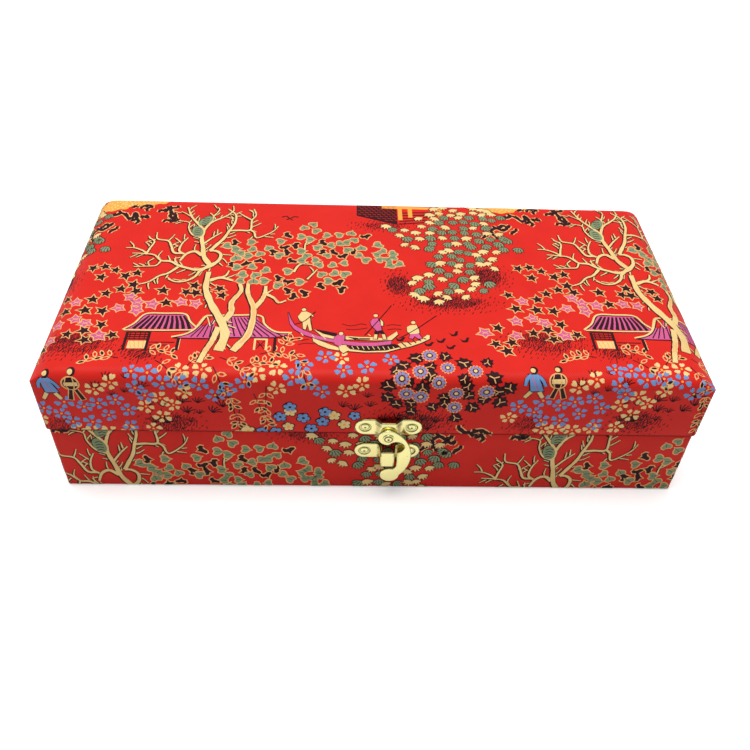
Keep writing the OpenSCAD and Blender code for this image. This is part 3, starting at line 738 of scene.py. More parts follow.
hung = {"turn_spread": 130, "size": 0.93, "size_spread": 0.1}
outlined(spade, "gold", 0.55, 6, (("green", 1.0),), TREE_GREEN, 5, **hung)
sow("black", 8, midrib, TREE_GREEN, 1.0, 5, **hung)
outlined(torn, "gold", 0.6, 5, (("black", 1.0),), TREE_BLACK, 6, turn_spread=180, size=0.95, size_spread=0.12)
ivy = [[(0, 2.3), (1.2, 2.0), (2.1, 1.2), (2.9, -0.7), (1.9, -0.5), (1.3, -2.4), (0.5, -1.0), (-0.4, -2.9),
        (-0.9, -0.9), (-1.9, -1.9), (-1.9, -0.3), (-2.8, -0.4), (-2.2, 1.1), (-1.2, 1.9)]]
spread = [[(0, 2.0), (1.1, 1.6), (2.9, 0.3), (2.1, -0.7), (1.3, -0.5), (1.5, -2.4), (0.4, -0.9), (-0.4, -2.7),
           (-0.9, -0.8), (-2.6, -1.5), (-2.0, -0.1), (-2.7, 0.6), (-1.3, 1.6)]]
ribs = [[(x - 0.2, 1.6 - abs(x) * 0.4), (x + 0.2, 1.6 - abs(x) * 0.4), (1.5 * x + 0.14, -1.3 + 0.3 * abs(x)),
         (1.5 * x - 0.14, -1.3 + 0.3 * abs(x))] for x in (-1.1, 0, 1.1)]
VINE_IVORY = [
    (29, 6), (33, 4.5), (36, -1), (38, 7), (43, 0.5), (45, -2.5), (47.5, 4.5), (51.5, 6), (47.5, 9),
    (51.5, 10.5), (56, 10), (54, 7), (31, 10), (26.5, 11.5), (36.5, 11.5), (41.5, 10), (40, 13.5),
    (28.5, 15), (21, 15), (26, 18.5), (22, 22), (5.5, 22.5), (14, 25.5), (19, 27.5), (11.5, 30),
    (20.5, 32.5), (25.5, 27.5), (33, 22.5), (31, 31.5), (37, 36), (42, 31.5), (46, 22.5), (51.5, 18.5),
    (52, 27), (57.5, 27.5), (13.5, 37.5), (18, 39.5), (30, 43), (33, 41.5), (28.5, 51.5), (36.5, 53),
    (35.5, 57), (45, 44.5), (48.5, 42), (54.5, 42), (46, 51.5), (52, 47.5), (49.5, 51), (52, 54.5),
    (23, 60), (18, 62.5), (15.5, 66), (28.5, 63), (42.5, 61.5), (42.5, 66), (40.5, 69.5), (35, 71),
    (37.5, 75), (29.5, 75.5), (26, 73), (26, 78.5), (19.5, 76.5), (16, 74)]
VINE_GREEN = [
    (8.5, 25.5), (15, 33), (33, 14), (45, 13.5), (51.5, 14), (60, 13), (30.5, 18.5), (37, 18), (42, 17.5),
    (47, 19), (55.5, 15.5), (27, 24), (41.5, 23), (52, 22.5), (31, 27), (36, 26.5), (41.5, 27), (47, 28),
    (25.5, 32), (36.5, 31.5), (47.5, 33.5), (53, 32), (59, 31.5), (26, 36.5), (33, 37), (42, 36),
    (43.5, 38.5), (50.5, 38), (56, 36), (24.5, 40.5), (37.5, 42.5), (41.5, 43.5), (58, 40), (28, 46.5),
    (34, 46), (37.5, 48.5), (46.5, 48), (24.5, 52.5), (33.5, 51.5), (41.5, 52.5), (27.5, 57), (31.5, 60),
    (41, 57.5), (37.5, 63), (22.5, 65), (22.5, 68.5), (18.5, 71.5), (33, 67.5), (30.5, 71.5), (48.5, 66),
    (45.5, 70.5), (60.5, 33), (64.5, 40)]
VINE_OVER = [(50, -8, 16, 7), (46, -22, 20, 9)]
hung = {"turn_spread": 38, "size": 0.88, "size_spread": 0.12}
for leaf, yarn, places, seed in ((spread, "ivory", VINE_IVORY, 8), (ivy, "green", VINE_GREEN, 9)):
    outlined(leaf, "black", 0.45, 6, ((yarn, 1.0),), places, seed, **hung)
sow("black", 8, ribs, VINE_GREEN, 1.0, 9, **hung)
outlined(ivy, "black", 0.5, 6, (("green", 0.55), ("ivory", 0.46)), VINE_OVER, 10, spacing=5.2, turn_spread=38,
         size=0.88)


def star(points, outer, inner, turn=0.0, arms=(1.0,)):
    """A star; its arms' lengths follow the given list in turn."""
    return [(r * math.sin(x), r * math.cos(x)) for x, r in
            ((math.radians(turn) + math.pi * i / points, inner if i % 2 else outer * arms[i // 2 % len(arms)])
             for i in range(2 * points))]


STARS_BLACK = [
    (-120.5, 57.5), (-115.5, 56.5), (-110.5, 59), (-105.5, 63), (-101, 61), (-115.5, 64), (-101, 69),
    (-105.5, 72), (-99, 73.5), (-111, 75), (-115.5, 79), (-127.5, 76.5), (-125.5, 85.5), (-117, 86),
    (-110, 86.5), (-108.5, 95), (-103, 101), (-114.5, 98.5), (-113, 104), (-120.5, 100.5), (-88, 73),
    (-78.5, 74), (-85.5, 81), (-74.5, 74.5), (-75.5, 69.5), (-65, 71.5), (-63.5, 76), (48.5, 94),
    (46.5, 103.5), (53, 102.5), (50.5, 107.5)]
STARS_PINK = [
    (-100.5, 77.5), (-97, 81), (-96.5, 86), (-104, 84.5), (-122, 80.5), (-119.5, 91.5), (-115, 94),
    (-126.5, 93.5), (-108, 101.5), (-91, 82), (-79.5, 80.5), (-73.5, 81.5), (55.5, 98.5), (43, 97)]
UNEVEN = (1.0, 0.84, 1.08, 0.9, 1.12)
for yarn, places, seed, outer, inner in (("black", STARS_BLACK, 3, 3.0, 1.3),
                                         ("pink", STARS_PINK, 4, 3.1, 1.7)):
    for colour, layer, more in (("gold", 2, 0.8), (yarn, 3, 0.0)):
        leaf = [star(5, outer + more, inner + 0.68 * more, arms=UNEVEN)]
        sow(colour, layer, leaf, places, 1.0, seed, turn_spread=36, size=0.95, size_spread=0.1)
for a, b in STARS_PINK:
    for k in (-1, 1):
        stroke("gold", 4, [(a - 1.1, b + 0.7 * k), (a, b - 0.3 * k), (a + 1.2, b + 0.8 * k)], 0.3)

# Two huts behind the trees. Black threads stripe their pink roofs, the eaves are ivory, and thin
# posts, a screen and a lattice stand below.
ROOFS = [
    [(-98.5, 97.4), (-95.4, 94.7), (-92.1, 88.8), (-76.7, 88.8), (-74.6, 93), (-71.7, 97.4)],
    [(-79, 102), (-73.3, 99.4), (-69.8, 95.1), (-67.9, 95.8), (-64.2, 89.7), (-64.2, 96.9), (-65, 102.4),
     (-75.8, 102.5)],
    [(-59.6, 89.7), (-47.9, 89.7), (-45.8, 93.8), (-41.7, 98.3), (-35, 99.7), (-39.6, 101.1), (-40.4, 101.5),
     (-59.2, 101.7)]]
for points in ROOFS:
    patch("pink", 1, points)
for i in range(10):
    top, foot = -90.6 + i * 1.5, -95.6 + i * 2.45
    stroke("black", 2, [(top, 89.3), ((top + foot) / 2 + 0.2, 93), (foot, 97.3)], 0.85, 1.45, step=4)
for i in range(9):
    foot = -58.4 + i * 2.7
    stroke("black", 2, [(-59.4 + i * 1.25, 90.1), (-59 + i * 1.9, 95.5), (foot, 101.2)], 0.5, 0.6, step=4)
for i in range(4):
    stroke("black", 2, [(-68.5 + i * 1.2, 95 - i), (-72.6 + i * 2.4, 101.9)], 0.45, 0.5, step=4)
EAVES = [
    (0.8, [(-99.6, 97.8), (-95.8, 94), (-92.3, 88.2), (-84.6, 87.8), (-76.7, 88.2), (-74, 92.8),
           (-71, 96.3)]),
    (0.7, [(-99, 98), (-85, 98.2), (-71.7, 97.8)]),
    (0.8, [(-80, 102), (-74.6, 100.1), (-71.2, 96.5), (-68.2, 89.3)]),
    (0.8, [(-68.2, 89.1), (-57.5, 88.7), (-46.7, 88.8), (-44.6, 93.8), (-40, 98.2), (-33.5, 98.7)]),
    (0.5, [(-71.2, 95.8), (-68.3, 89.3), (-65.8, 95.5)])]
for width, points in EAVES:
    stroke("black", 2, points, width + 0.4, shift=(0.2, 0.25))
    stroke("ivory", 3, points, width)
stroke("black", 3, [(-79, 102.7), (-65, 102.8), (-55, 102), (-40, 101.7), (-35, 100.2)], 0.6)
for a, b0, b1, width in ((-97.3, 99.2, 109.5, 1.1), (-88.7, 99.2, 109.5, 1.1), (-77, 102.5, 109.5, 1.2),
                         (-39.8, 101.5, 109.5, 1.2)):
    stroke("black", 3, [(a, b0), (a, b1)], width, step=20)
for k in range(4):
    stroke("black", 2, [(-97.3, 99.4 + 1.3 * k), (-88.7, 99.4 + 1.3 * k)], 0.6, step=20)
    stroke("black", 2, [(-96 + 1.9 * k, 99.4), (-96 + 1.9 * k, 103.4)], 0.35, step=20)
patch("ivory", 2, [(-96, 104.4), (-89.2, 104.4), (-89.2, 108.7), (-96, 108.7)])
for k in range(4):
    stroke("orange", 3, [(-95.6 + 1.8 * k, 104.6), (-94.4 + 1.5 * k, 108.6)], 0.28, step=20)
for points in ([(-87.9, 105.1), (-78.3, 105.1)], [(-87.9, 106.7), (-80.8, 106.7)]):
    stroke("black", 2, points, 0.45, step=20)
FRAMES = [
    [(-76.6, 102.9), (-76.6, 109)], [(-47.5, 102.4), (-47.5, 108.7)], [(-43, 102.4), (-43, 108.7)],
    [(-47.5, 102.7), (-43, 102.7)]]
for points in FRAMES:
    stroke("ivory", 2, points, 0.8, step=20)
LATTICE = [
    [(-46.8, 103.6), (-43.8, 108.1)], [(-43.8, 103.6), (-46.8, 108.1)], [(-46.8, 106), (-43.8, 106)]]
for points in LATTICE:
    stroke("black", 2, points, 0.35, step=20)

# Two long punts and their crews with poles, small waves, ducks and two birds in the sky. Each patch
# of a punt or a figure has a dark thread round it, one layer lower.
PUNTS = [
    ("pink", 3, [(-35.8, 86.1), (-34.7, 89.9), (-32.8, 94.1), (-28.9, 97.3), (-23.3, 100.3), (-17.8, 102.2),
                 (-12.2, 103.1), (-6.7, 103.8), (-1.1, 103.8), (5.6, 102.5), (5.3, 104.5), (-1.1, 105.7),
                 (-8.9, 105.7), (-13.9, 104.9), (-17.8, 103.8), (-23.3, 102.2), (-28.9, 99.8), (-32.8, 96.5),
                 (-34.6, 93.3)]),
    ("ivory", 2, [(-25, 96.4), (-21.1, 99.2), (-16.7, 100.6), (-11.7, 100.2), (-6.7, 100.6), (-1.7, 100.6),
                  (3.3, 101.3), (7.8, 97.1), (8.2, 98.8), (5.6, 102.1), (-1.1, 102.5), (-8.9, 102.1),
                  (-16.7, 102.1), (-21.7, 100.6)]),
    ("black", 3, [(-24.2, 96.7), (-20.6, 97.6), (-16.1, 98.8), (-15.6, 100), (-20, 99.2)]),
    ("black", 3, [(-11.9, 100.6), (-6.7, 101.3), (-2.8, 101.3), (-2.8, 102.1), (-8.9, 102.1)]),
    ("black", 2, [(-11.1, 105.5), (-1.1, 105.8), (6.7, 104.4), (8.3, 105.5), (4.4, 107.6), (-4.4, 108.4),
                  (-10, 108.1)]),
    ("ivory", 2, [(-25.3, 101.6), (-21.7, 103.4), (-17.8, 105.5), (-14.7, 107), (-15, 108.4), (-18.9, 107.5),
                  (-22.8, 105.5), (-25, 103.4)]),
    ("ivory", 3, [(-12.8, 105.5), (-10.6, 107.6), (-4.4, 108.7), (3.3, 108.1), (8.3, 106.3), (8.9, 106.8),
                  (3.3, 109), (-5.6, 109.3), (-11.1, 108.7)]),
    ("ivory", 2, [(7.8, 104.4), (10, 103.4), (13.3, 103.4), (16.7, 102.1), (19.7, 98.8), (20.8, 99.2),
                  (20.6, 101.1), (17.2, 103.4), (13.3, 105.4), (9.4, 106.7)])]
CREWS = [
    ("pink", 4, [(-15.6, 99.7), (-12.8, 99.7), (-12.8, 102.1), (-14.4, 106.3), (-16.7, 104.9),
                 (-16.9, 101.1)]),
    ("ivory", 4, [(-15, 105.4), (-12.2, 105.4), (-11.1, 108.1), (-13.3, 110), (-14.7, 108.1)]),
    ("ivory", 4, [(-30.3, 86.1), (-28.3, 85.8), (-25.6, 87.7), (-25.4, 89.1), (-26.9, 88.3), (-26.7, 91.1),
                  (-25.7, 97.1), (-26.7, 97.4), (-27.7, 93.3), (-28.2, 96.7), (-29.2, 96.4), (-29.7, 92.2),
                  (-30.8, 91.3), (-31.7, 89.1)]),
    ("pink", 4, [(-1.7, 89.7), (0.3, 89.4), (1.4, 92.2), (1.8, 96.4), (0, 97.1), (-2.2, 93.8),
                 (-2.7, 91.6)]),
    ("black", 4, [(-0.8, 96.9), (1.7, 96.2), (2.9, 98.8), (1.9, 98.8), (1, 97.6), (0.1, 98.8), (-1, 98.9)]),
    ("ivory", 4, [(-1.1, 99), (0.1, 99), (-0.1, 101.6), (-1.6, 101.6)]),
    ("ivory", 4, [(1.8, 98.8), (3, 98.9), (3.6, 101.6), (2.2, 101.7)]),
    ("ivory", 4, [(1.4, 89.9), (2.5, 91.6), (2.5, 93.8), (1.7, 93.8)]),
    ("ivory", 4, [(13.3, 93.3), (15.8, 93), (16.7, 96), (16.7, 97.9), (13.3, 98.8), (11.9, 96.9),
                  (11.9, 94.4)]),
    ("pink", 5, [(13.1, 98.5), (16.4, 98.1), (17.8, 101.1), (16.1, 101.1), (14.7, 99.7), (13.9, 101.3),
                 (12.5, 100.9)])]
for yarn, layer, points in PUNTS + CREWS:
    patch(yarn, layer, points)
    ring = points + points[:1]
    stroke("black", layer - 1, [(a + 0.1, b + 0.15) for a, b in ring], 0.7, step=6)
for a, b in ((-29.4, 84.7), (-14.2, 98.8), (-0.4, 87.7), (14.6, 91.6)):
    patch("black", 3, circle(a, b - 0.2, 1.15))
    patch("ivory", 4, circle(a, b, 0.9))
for k in range(9):
    stroke("ivory", 4, [(-10 + 2 * k, 105.9), (-9.2 + 2 * k, 107.6)], 0.3, step=5)
for k in range(5):
    stroke("black", 4, [(9.5 + 2.2 * k, 103.6 - 0.7 * k), (11.2 + 2.0 * k, 105.8 - 1.1 * k)], 0.5, step=5)
for k in range(7):
    a, sag = -30 + 4.4 * k, 0.03 * k ** 3
    stroke("ivory", 4, [(a, 98.8 + 1.1 * k - sag), (a + 1, 100.3 + k - sag)], 0.3, step=5)
POLES = [
    [(-4.9, 99.7), (1.1, 89.9), (6.2, 81.1)], [(8.6, 101.1), (15.6, 95.5), (24.2, 87.2)],
    [(-32.8, 93.8), (-28.9, 91.7), (-24.7, 85.8)]]
for points in POLES:
    stroke("black", 6, points, 0.4)
WAVES = [
    [(-13.9, 93), (-11.1, 94.1), (-8.9, 93.8), (-6.1, 92.8), (-4.2, 93.4)],
    [(-12.2, 96.2), (-9.4, 96.4), (-6.7, 96), (-3.9, 95.2)], [(3.9, 93.8), (6.1, 93), (9.7, 93.6)],
    [(3.9, 96.2), (7.2, 95.5), (9.7, 96)], [(-33.1, 102.5), (-30, 103), (-26.7, 102.3)],
    [(-30.6, 105.4), (-27.8, 104.6), (-24.4, 104.9)]]
for points in WAVES:
    stroke("black", 0, points, 0.35)
duck = [[(-2.0, 1.1), (-1.1, 0), (-0.3, -0.3), (0.4, 0.3), (1.0, 1.5), (2.1, 1.3), (1.6, 0.5), (1.2, -0.9),
         (0.2, -1.4), (-1.2, -1.1)]]
sow("black", 1, duck, [(30.5, 98), (34.5, 101.5), (20, 104), (25, 102), (28.5, 105.5), (9, 101.5)], 1, 9,
    turn_spread=15)
stroke("black", 1, [(-43, 15.9), (-40.6, 14.9), (-39.2, 17.2), (-37.3, 15.1), (-35.2, 15.7)], 0.7, 0.7)
stroke("black", 1, [(-40.6, 18.1), (-39.2, 17), (-37.6, 18.7)], 0.8, 0.4)

# A house of dark bricks with orange posts, its striped roof on the lid's back wall, and clouds. Short
# red threads mark the bricks, and each orange cloud is sown with small ivory stars.
patch("black", 1, [(-8, -6), (11, -6), (11, 20.5), (6, 19), (-8, 13.2)])
for j in range(15):
    for i in range(8):
        a, b = -7.4 + 2.3 * i + (j % 2) * 1.1, -5.4 + 1.7 * j
        if b < 12 + 0.38 * (a + 8):
            stroke("red", 2, [(a, b), (a + 1.5, b + 0.5)], 0.35, step=20)
patch("orange", 2, [(4, 3.6), (30, 4.4), (30, 6.4), (4, 6.0)])
for a, foot in ((12.5, 16.5), (17.3, 14), (31.5, 13.5)):
    stroke("orange", 3, [(a, -6), (a, foot)], 2.0, step=20)
for k in range(5):
    stroke("black", 1, [(12, 10 + 2.5 * k), (28 - k, 9 + 2.3 * k)], 0.8, step=20)
patch("pink", 2, [(-16, -6.5), (-9, -12), (-5, -19), (20, -19), (24, -12), (31, -6.5)])
for i in range(13):
    tile = [(-4 + 1.95 * i, -18.6), (-9 + 2.7 * i, -12), (-13.5 + 3.5 * i, -6.9)]
    stroke("black", 3, tile, 0.7, 0.9, step=5)
gable = [(-17, -6), (-9.3, -12), (-5.4, -19.4), (7, -20), (20.4, -19.4), (24.3, -12), (32, -6)]
stroke("ivory", 4, gable, 0.9)
stroke("ivory", 4, [(-17, -6), (7, -6.6), (32, -6)], 0.8)
CLOUDS = [
    (-122, 6.5, 9, 5.5), (-113, 4, 8, 5), (-118, -6, 12, 6), (-104, 2, 8, 4.5), (-60, -16, 13, 5),
    (-50, -20, 9, 5), (-70, -20, 9, 4)]
for a, b, ra, rb in CLOUDS:
    edge = [(a + (ra + 0.5 * math.sin(9 * x)) * math.cos(x), b + (rb + 0.5 * math.sin(9 * x)) * math.sin(x))
            for x in np.linspace(0, 2 * math.pi, 60)[:-1]]
    patch("orange", 2, edge)
    sow("ivory", 3, [star(3, 0.7, 0.4)], [(a, b, ra - 0.9, rb - 0.9)], 1.6, 40, turn_spread=180)

# Dark coral-like sprigs with a gold edge. Each branch is a black line of uneven width over a wider
# gold one, with a short twig at every step.
SPRIGS = [
    [(-121, 14.5), (-120, 16.5), (-117.5, 14.5), (-115, 16), (-113.5, 18.5), (-111.5, 18.5),
     (-111, 14), (-109.5, 19), (-111.5, 21)],
    [(-109.5, 19), (-108, 21.5)], [(-108, 17), (-106, 17.5), (-104.5, 18.5)],
    [(-127.5, 26), (-124.5, 25.5), (-123, 23), (-121, 24.5), (-119.5, 23.5)],
    [(-119, 29), (-117, 27.5)], [(-100, 11.5), (-98, 12)],
    [(-97.5, 13), (-96, 10), (-94.5, 14), (-94.5, 17), (-92, 17.5), (-93, 14)],
    [(-96, 20), (-93.5, 20.5), (-91.5, 21), (-94.5, 17)], [(-95.5, 9.5), (-92, 9)],
    [(-113.5, 9.5), (-111, 7.5)], [(-109, 8.5), (-107, 7.5), (-104.5, 8), (-106.5, 10.5)],
    [(54, 24), (57, 22), (60, 24), (62, 21.5)], [(51, 29), (54, 27), (56, 29.5)],
    [(-95, -12), (-91, -10), (-88, -13), (-85, -11)], [(-34, -10), (-30, -8), (-27, -11), (-24, -9)],
    [(33, 148), (37, 151), (42, 149), (46, 152)]]
for points in SPRIGS:
    stroke("gold", 2, points, 2.9, 2.6, step=0.8)
    stroke("black", 3, points, 1.9, 1.6, step=0.8, wobble=0.2)
    for at in smooth_line(points, 2.4)[0]:
        twig = [tuple(at), (at[0] + rng.uniform(-1.7, 1.7), at[1] + rng.choice((-1.8, 1.8)))]
        stroke("gold", 2, twig, 2.6, 2.3, step=0.8)
        stroke("black", 3, twig, 1.7, 1.3, step=0.8)

# Along the front: sprays of almond leaves, flowers of five loose petals, full small flowers, daisies
# among dark leaves, and tufts of grass.
ALMOND = [(-1, 0), (-0.4, 0.9), (0.4, 0.9), (1, 0), (0.4, -0.9), (-0.4, -0.9)]


def almond_spray(a, b, turn, seed):
    """A thin stem with pairs of pointed leaves, each a gold outline round a dark or a red middle."""
    chance = random.Random(seed)
    way = math.radians(turn)
    stem = [(a + d * math.cos(way), b + d * math.sin(way) + 0.04 * d * d) for d in range(0, 14, 3)]
    stroke("black", 1, stem, 0.4)
    for i, place in enumerate(stem[1:]):
        for side in (-1, 1):
            lean = way + side * (0.85 + chance.uniform(-0.35, 0.35))
            u, v = np.array([math.cos(lean), math.sin(lean)]), np.array([-math.sin(lean), math.cos(lean)])
            mid = np.array(place) + 2.1 * u
            for yarn, layer, k in (("gold", 2, 1.0), ("black" if i % 2 else "red", 3, 0.6)):
                patch(yarn, layer, [tuple(mid + p * 2.0 * k * u + q * 0.95 * k * v) for p, q in ALMOND])


SPRAYS = [
    (-90, 110, -20, 1), (-84, 115, 30, 2), (-72, 118, -60, 3), (-60, 113, 20, 4), (-45, 111, -25, 5),
    (-37, 108, -70, 6), (-56.5, 129, 80, 7), (-47, 130, 70, 8), (-42, 126, 95, 9), (-62, 118, 60, 10),
    (-50, 118, -40, 11), (-33, 108, 60, 12), (-53, 138, 95, 14), (-98, 114, 200, 16)]
for a, b, turn, seed in SPRAYS:
    almond_spray(a, b, turn, seed)


def turned(outline, degrees, scale=1.0):
    """An outline turned about its middle and scaled."""
    c, s = math.cos(math.radians(degrees)) * scale, math.sin(math.radians(degrees)) * scale
    return [(x * c - y * s, x * s + y * c) for x, y in outline]


petal = [(-0.15, 1.2), (0.75, 1.9), (1.3, 2.9), (1.0, 3.8), (0.3, 3.9), (-0.1, 3.4), (-0.6, 3.7),
         (-1.15, 3.0), (-0.7, 1.9)]
five = [turned(petal, t, k) for t, k in ((0, 1.0), (70, 0.88), (148, 1.05), (213, 0.92), (290, 1.02))]
BLUE_FLOWERS = [
    (-121.5, 142), (-112, 138), (-110.5, 146.5), (-103.5, 142.5), (-99.5, 134), (-96, 148.5), (-91, 127.5),
    (-80.5, 125), (-67, 125.5), (-56.5, 127.5), (-32, 122), (-28, 116.5), (-21, 128.5), (-13, 119),
    (5, 113), (-20, 112), (-4, 117), (-128, 139), (-119, 135.5), (-106.5, 136), (-118, 146.5),
    (-92, 120.5), (-86, 121), (-74, 124.5), (-61.5, 131), (-88, 131.5), (-95.5, 139.5), (-26, 124.5),
    (-50, 124)]
GOLD_FLOWERS = [
    (-100, 125), (-88.5, 137.5), (-78, 136.5), (-73, 129.5), (-117, 151), (-104.5, 152), (-87.5, 150),
    (-74, 120), (-38, 118), (-38, 127), (-12, 128), (-14, 112.5), (52, 141.5), (-45.5, 121), (-6, 124.5),
    (-111, 152), (-82.5, 133), (-97, 151), (-106.5, 128.5), (-83, 143), (-66, 119.5)]
for yarn, places, seed in (("blue", BLUE_FLOWERS, 14), ("ivory", GOLD_FLOWERS, 15)):
    sow(yarn, 2, five, places, 1.0, seed, turn_spread=180, size=0.92, size_spread=0.08)
    sow("orange", 3, [circle(0, 0, 0.5, steps=8)], places, 1.0, seed)
full_petal = [(-1.0, 1.2), (-0.95, 2.3), (0, 2.8), (0.95, 2.3), (1.0, 1.2)]
full = [p for k in range(5) for p in turned(full_petal, -72 * k)]
FULL_FLOWERS = [
    ("blue", "black", 16, [(-33.5, 137), (-37.5, 142.5), (-28.5, 143), (-20, 139.5), (-21, 145), (-25.5, 149),
                           (-45, 151), (-39.5, 151), (-8.5, 141.5)]),
    ("ivory", "orange", 17, [(-34.5, 148), (-50.5, 150.5), (-12.5, 146.5), (-33.5, 139.5), (-16.5, 141.5)])]
for yarn, middle, seed, places in FULL_FLOWERS:
    outlined([full], "black", 0.5, 2, ((yarn, 1.0),), places, seed, turn_spread=36, size=0.92,
             size_spread=0.08)
    sow(middle, 4, [circle(0, 0, 0.6, steps=8)], places, 1.0, seed)

DAISIES = [
    (11, 129), (16.5, 130.5), (30, 136), (41.5, 127.5), (16, 119), (23, 123.5), (37, 118.5), (26.5, 117),
    (20, 110.5), (30, 128.5), (9, 122)]
DARK_LEAVES = [
    (4, 131), (11.5, 123.5), (13.5, 138.5), (21.5, 136), (25.5, 130.5), (31, 142), (35, 129.5), (32.5, 122),
    (44, 121.5), (37, 136), (47.5, 133), (50, 125.5), (15, 112), (26, 111), (10, 116), (4, 125), (20, 116.5),
    (42, 114), (7, 118.5), (7.5, 134.5), (13, 134), (17, 126), (20, 121), (26, 134), (33, 114.5), (34, 125),
    (41, 131.5), (46, 127.5)]
dark_leaf = [star(8, 3.3, 2.3, arms=UNEVEN)]
rib = [[(-0.22, -1.9), (0.22, -1.9), (0.2, 0), (-0.2, 0)],
       [(0, 0.1), (0.16, -0.25), (1.45, 1.15), (1.15, 1.4)],
       [(0, 0.1), (-1.15, 1.4), (-1.45, 1.15), (-0.16, -0.25)]]
sow("black", 1, dark_leaf, DARK_LEAVES, 1.0, 18, turn_spread=180, size=1.0, size_spread=0.15)
sow("gold", 2, rib, DARK_LEAVES, 1.0, 18, turn_spread=180, size=1.0, size_spread=0.15)
ray = [(0, 1.2), (0.6, 1.7), (0.5, 2.7), (-0.5, 2.7), (-0.6, 1.7)]
DAISY = [
    ("gold", [star(14, 3.5, 2.9)]), ("red", [circle(0, 0, 2.85, steps=16)]),
    ("blue", [turned(ray, 40 * k) for k in range(9)]), ("black", [circle(0, 0, 1.35, steps=12)]),
    ("ivory", [circle(0, 0, 0.85, steps=10)])]
for layer, (yarn, motif) in enumerate(DAISY, 3):
    sow(yarn, layer, motif, DAISIES, 1.0, 19, turn_spread=30, size=0.94, size_spread=0.08)

blade = [(0.2, 0), (0.25, 1.6), (0.9, 3.2), (0.6, 3.4), (-0.15, 1.8), (-0.2, 0)]
tuft = [turned(blade, t, 0.95) for t in (-55, -28, -4, 24, 50)]
TUFTS = [(-80, 141, 12, 7), (-66, 137, 8, 6), (86, 124, 9, 5), (12, 147, 14, 4), (-8, 134, 7, 5)]
sow("black", 0, tuft, TUFTS, 4.6, 20, turn_spread=22, size_spread=0.25)

# Two small walkers by the flowers at the front: one in a blue robe, one with a round pack. Their
# patches lie over slightly wider ones, black for the first and gold for the second.
a, b = -124, 121.5
patch("black", 3, circle(a + 0.4, b - 0.2, 1.6, 1.9))
patch("ivory", 4, circle(a, b, 1.0, 1.2))
for yarn, layer, more in (("black", 3, 0.45), ("blue", 4, 0.0)):
    left_sleeve = [(a - 0.8, b + 2.2), (a - 2.6, b + 3.8), (a - 3.1, b + 6.4)]
    right_sleeve = [(a + 0.9, b + 2.2), (a + 3.2, b + 3.8), (a + 4.8, b + 6.6)]
    stroke(yarn, layer, left_sleeve, 1.5 + more, 1.3 + more)
    stroke(yarn, layer, right_sleeve, 1.3 + more, 1.1 + more)
    patch(yarn, layer, [(a - 1.9 - more, b + 2.0 - more), (a + 1.4 + more, b + 2.0 - more),
                        (a + 4.2 + more, b + 8.8 + more), (a - 0.9 - more, b + 9.0 + more)])
stroke("pink", 5, [(a - 0.6, b + 3), (a + 0.8, b + 6), (a + 1.8, b + 8.5)], 0.35)
for foot, toe in ((-0.6, -2.6), (2.6, 4.4)):
    stroke("black", 3, [(a + foot, b + 9.3), (a + toe, b + 12.6)], 2.3, 2.1)
    stroke("ivory", 4, [(a + foot, b + 9.3), (a + toe, b + 12.4)], 1.7, 1.5)

a, b = -114.5, 121
patch("black", 3, circle(a + 0.4, b - 0.2, 1.6, 1.9))
patch("ivory", 4, circle(a, b, 1.0, 1.2))
patch("gold", 3, circle(a - 0.2, b + 4.9, 3.5, 3.3, steps=20))
patch("black", 4, circle(a - 0.2, b + 4.9, 2.9, 2.8, steps=20))
patch("ivory", 5, [(a - 2.7, b + 4.3), (a + 2.4, b + 4.1), (a + 2.5, b + 6.0), (a - 2.6, b + 6.0)])
for k in (-1.6, 0.9):
    stroke("gold", 6, [(a + k, b + 2.4), (a + 1.35 * k, b + 5), (a + 0.8 * k, b + 7.6)], 0.4)
for foot, toe in ((-0.6, -1.6), (1.4, 3.2)):
    stroke("gold", 3, [(a + foot, b + 8), (a + toe, b + 13.4)], 2.0, 2.4)
    stroke("black", 4, [(a + foot, b + 8), (a + toe, b + 13.2)], 1.2, 1.7)

# Weaving it in: the same drawing repeats across the cloth. The sheet on the lid runs over all four
# edges; the strip round the base is cut from elsewhere in the width, so it shows other parts of it.
UNDER = 0.02  # how deep the floats are let into the satin
STAGGER, YARN_STEP = 0.0005, 0.0013  # height between shapes, and between colours, of one layer
MANY = 40  # a drawing of more faces than this is taken face by face
ON_CUT, SCRAP = 0.0005, 0.002  # a point this near a cut lies on it, and shorter edges go


def shapes_near(yarn, shifts, bounds):
    """A colour's shapes, at each repeat, that meet a part of the cloth: points with a height, and faces."""
    low_end, high_end = np.array(bounds).T
    colour_height = FLOAT + YARN_STEP * list(drawn).index(yarn)
    for shift in shifts:
        for number, (flat, faces, layer) in enumerate(drawn[yarn]):
            if not len(flat):
                continue
            height = colour_height + LAYER * layer + STAGGER * (number % 9)
            lifted = np.column_stack([flat + shift, np.full(len(flat), height)])
            groups = [(lifted, faces)]
            if len(faces) > MANY:
                groups = [(lifted[face], [list(range(len(face)))]) for face in faces]
            for points, shapes in groups:
                if (points[:, :2].max(0) >= low_end).all() and (points[:, :2].min(0) <= high_end).all():
                    yield points, shapes


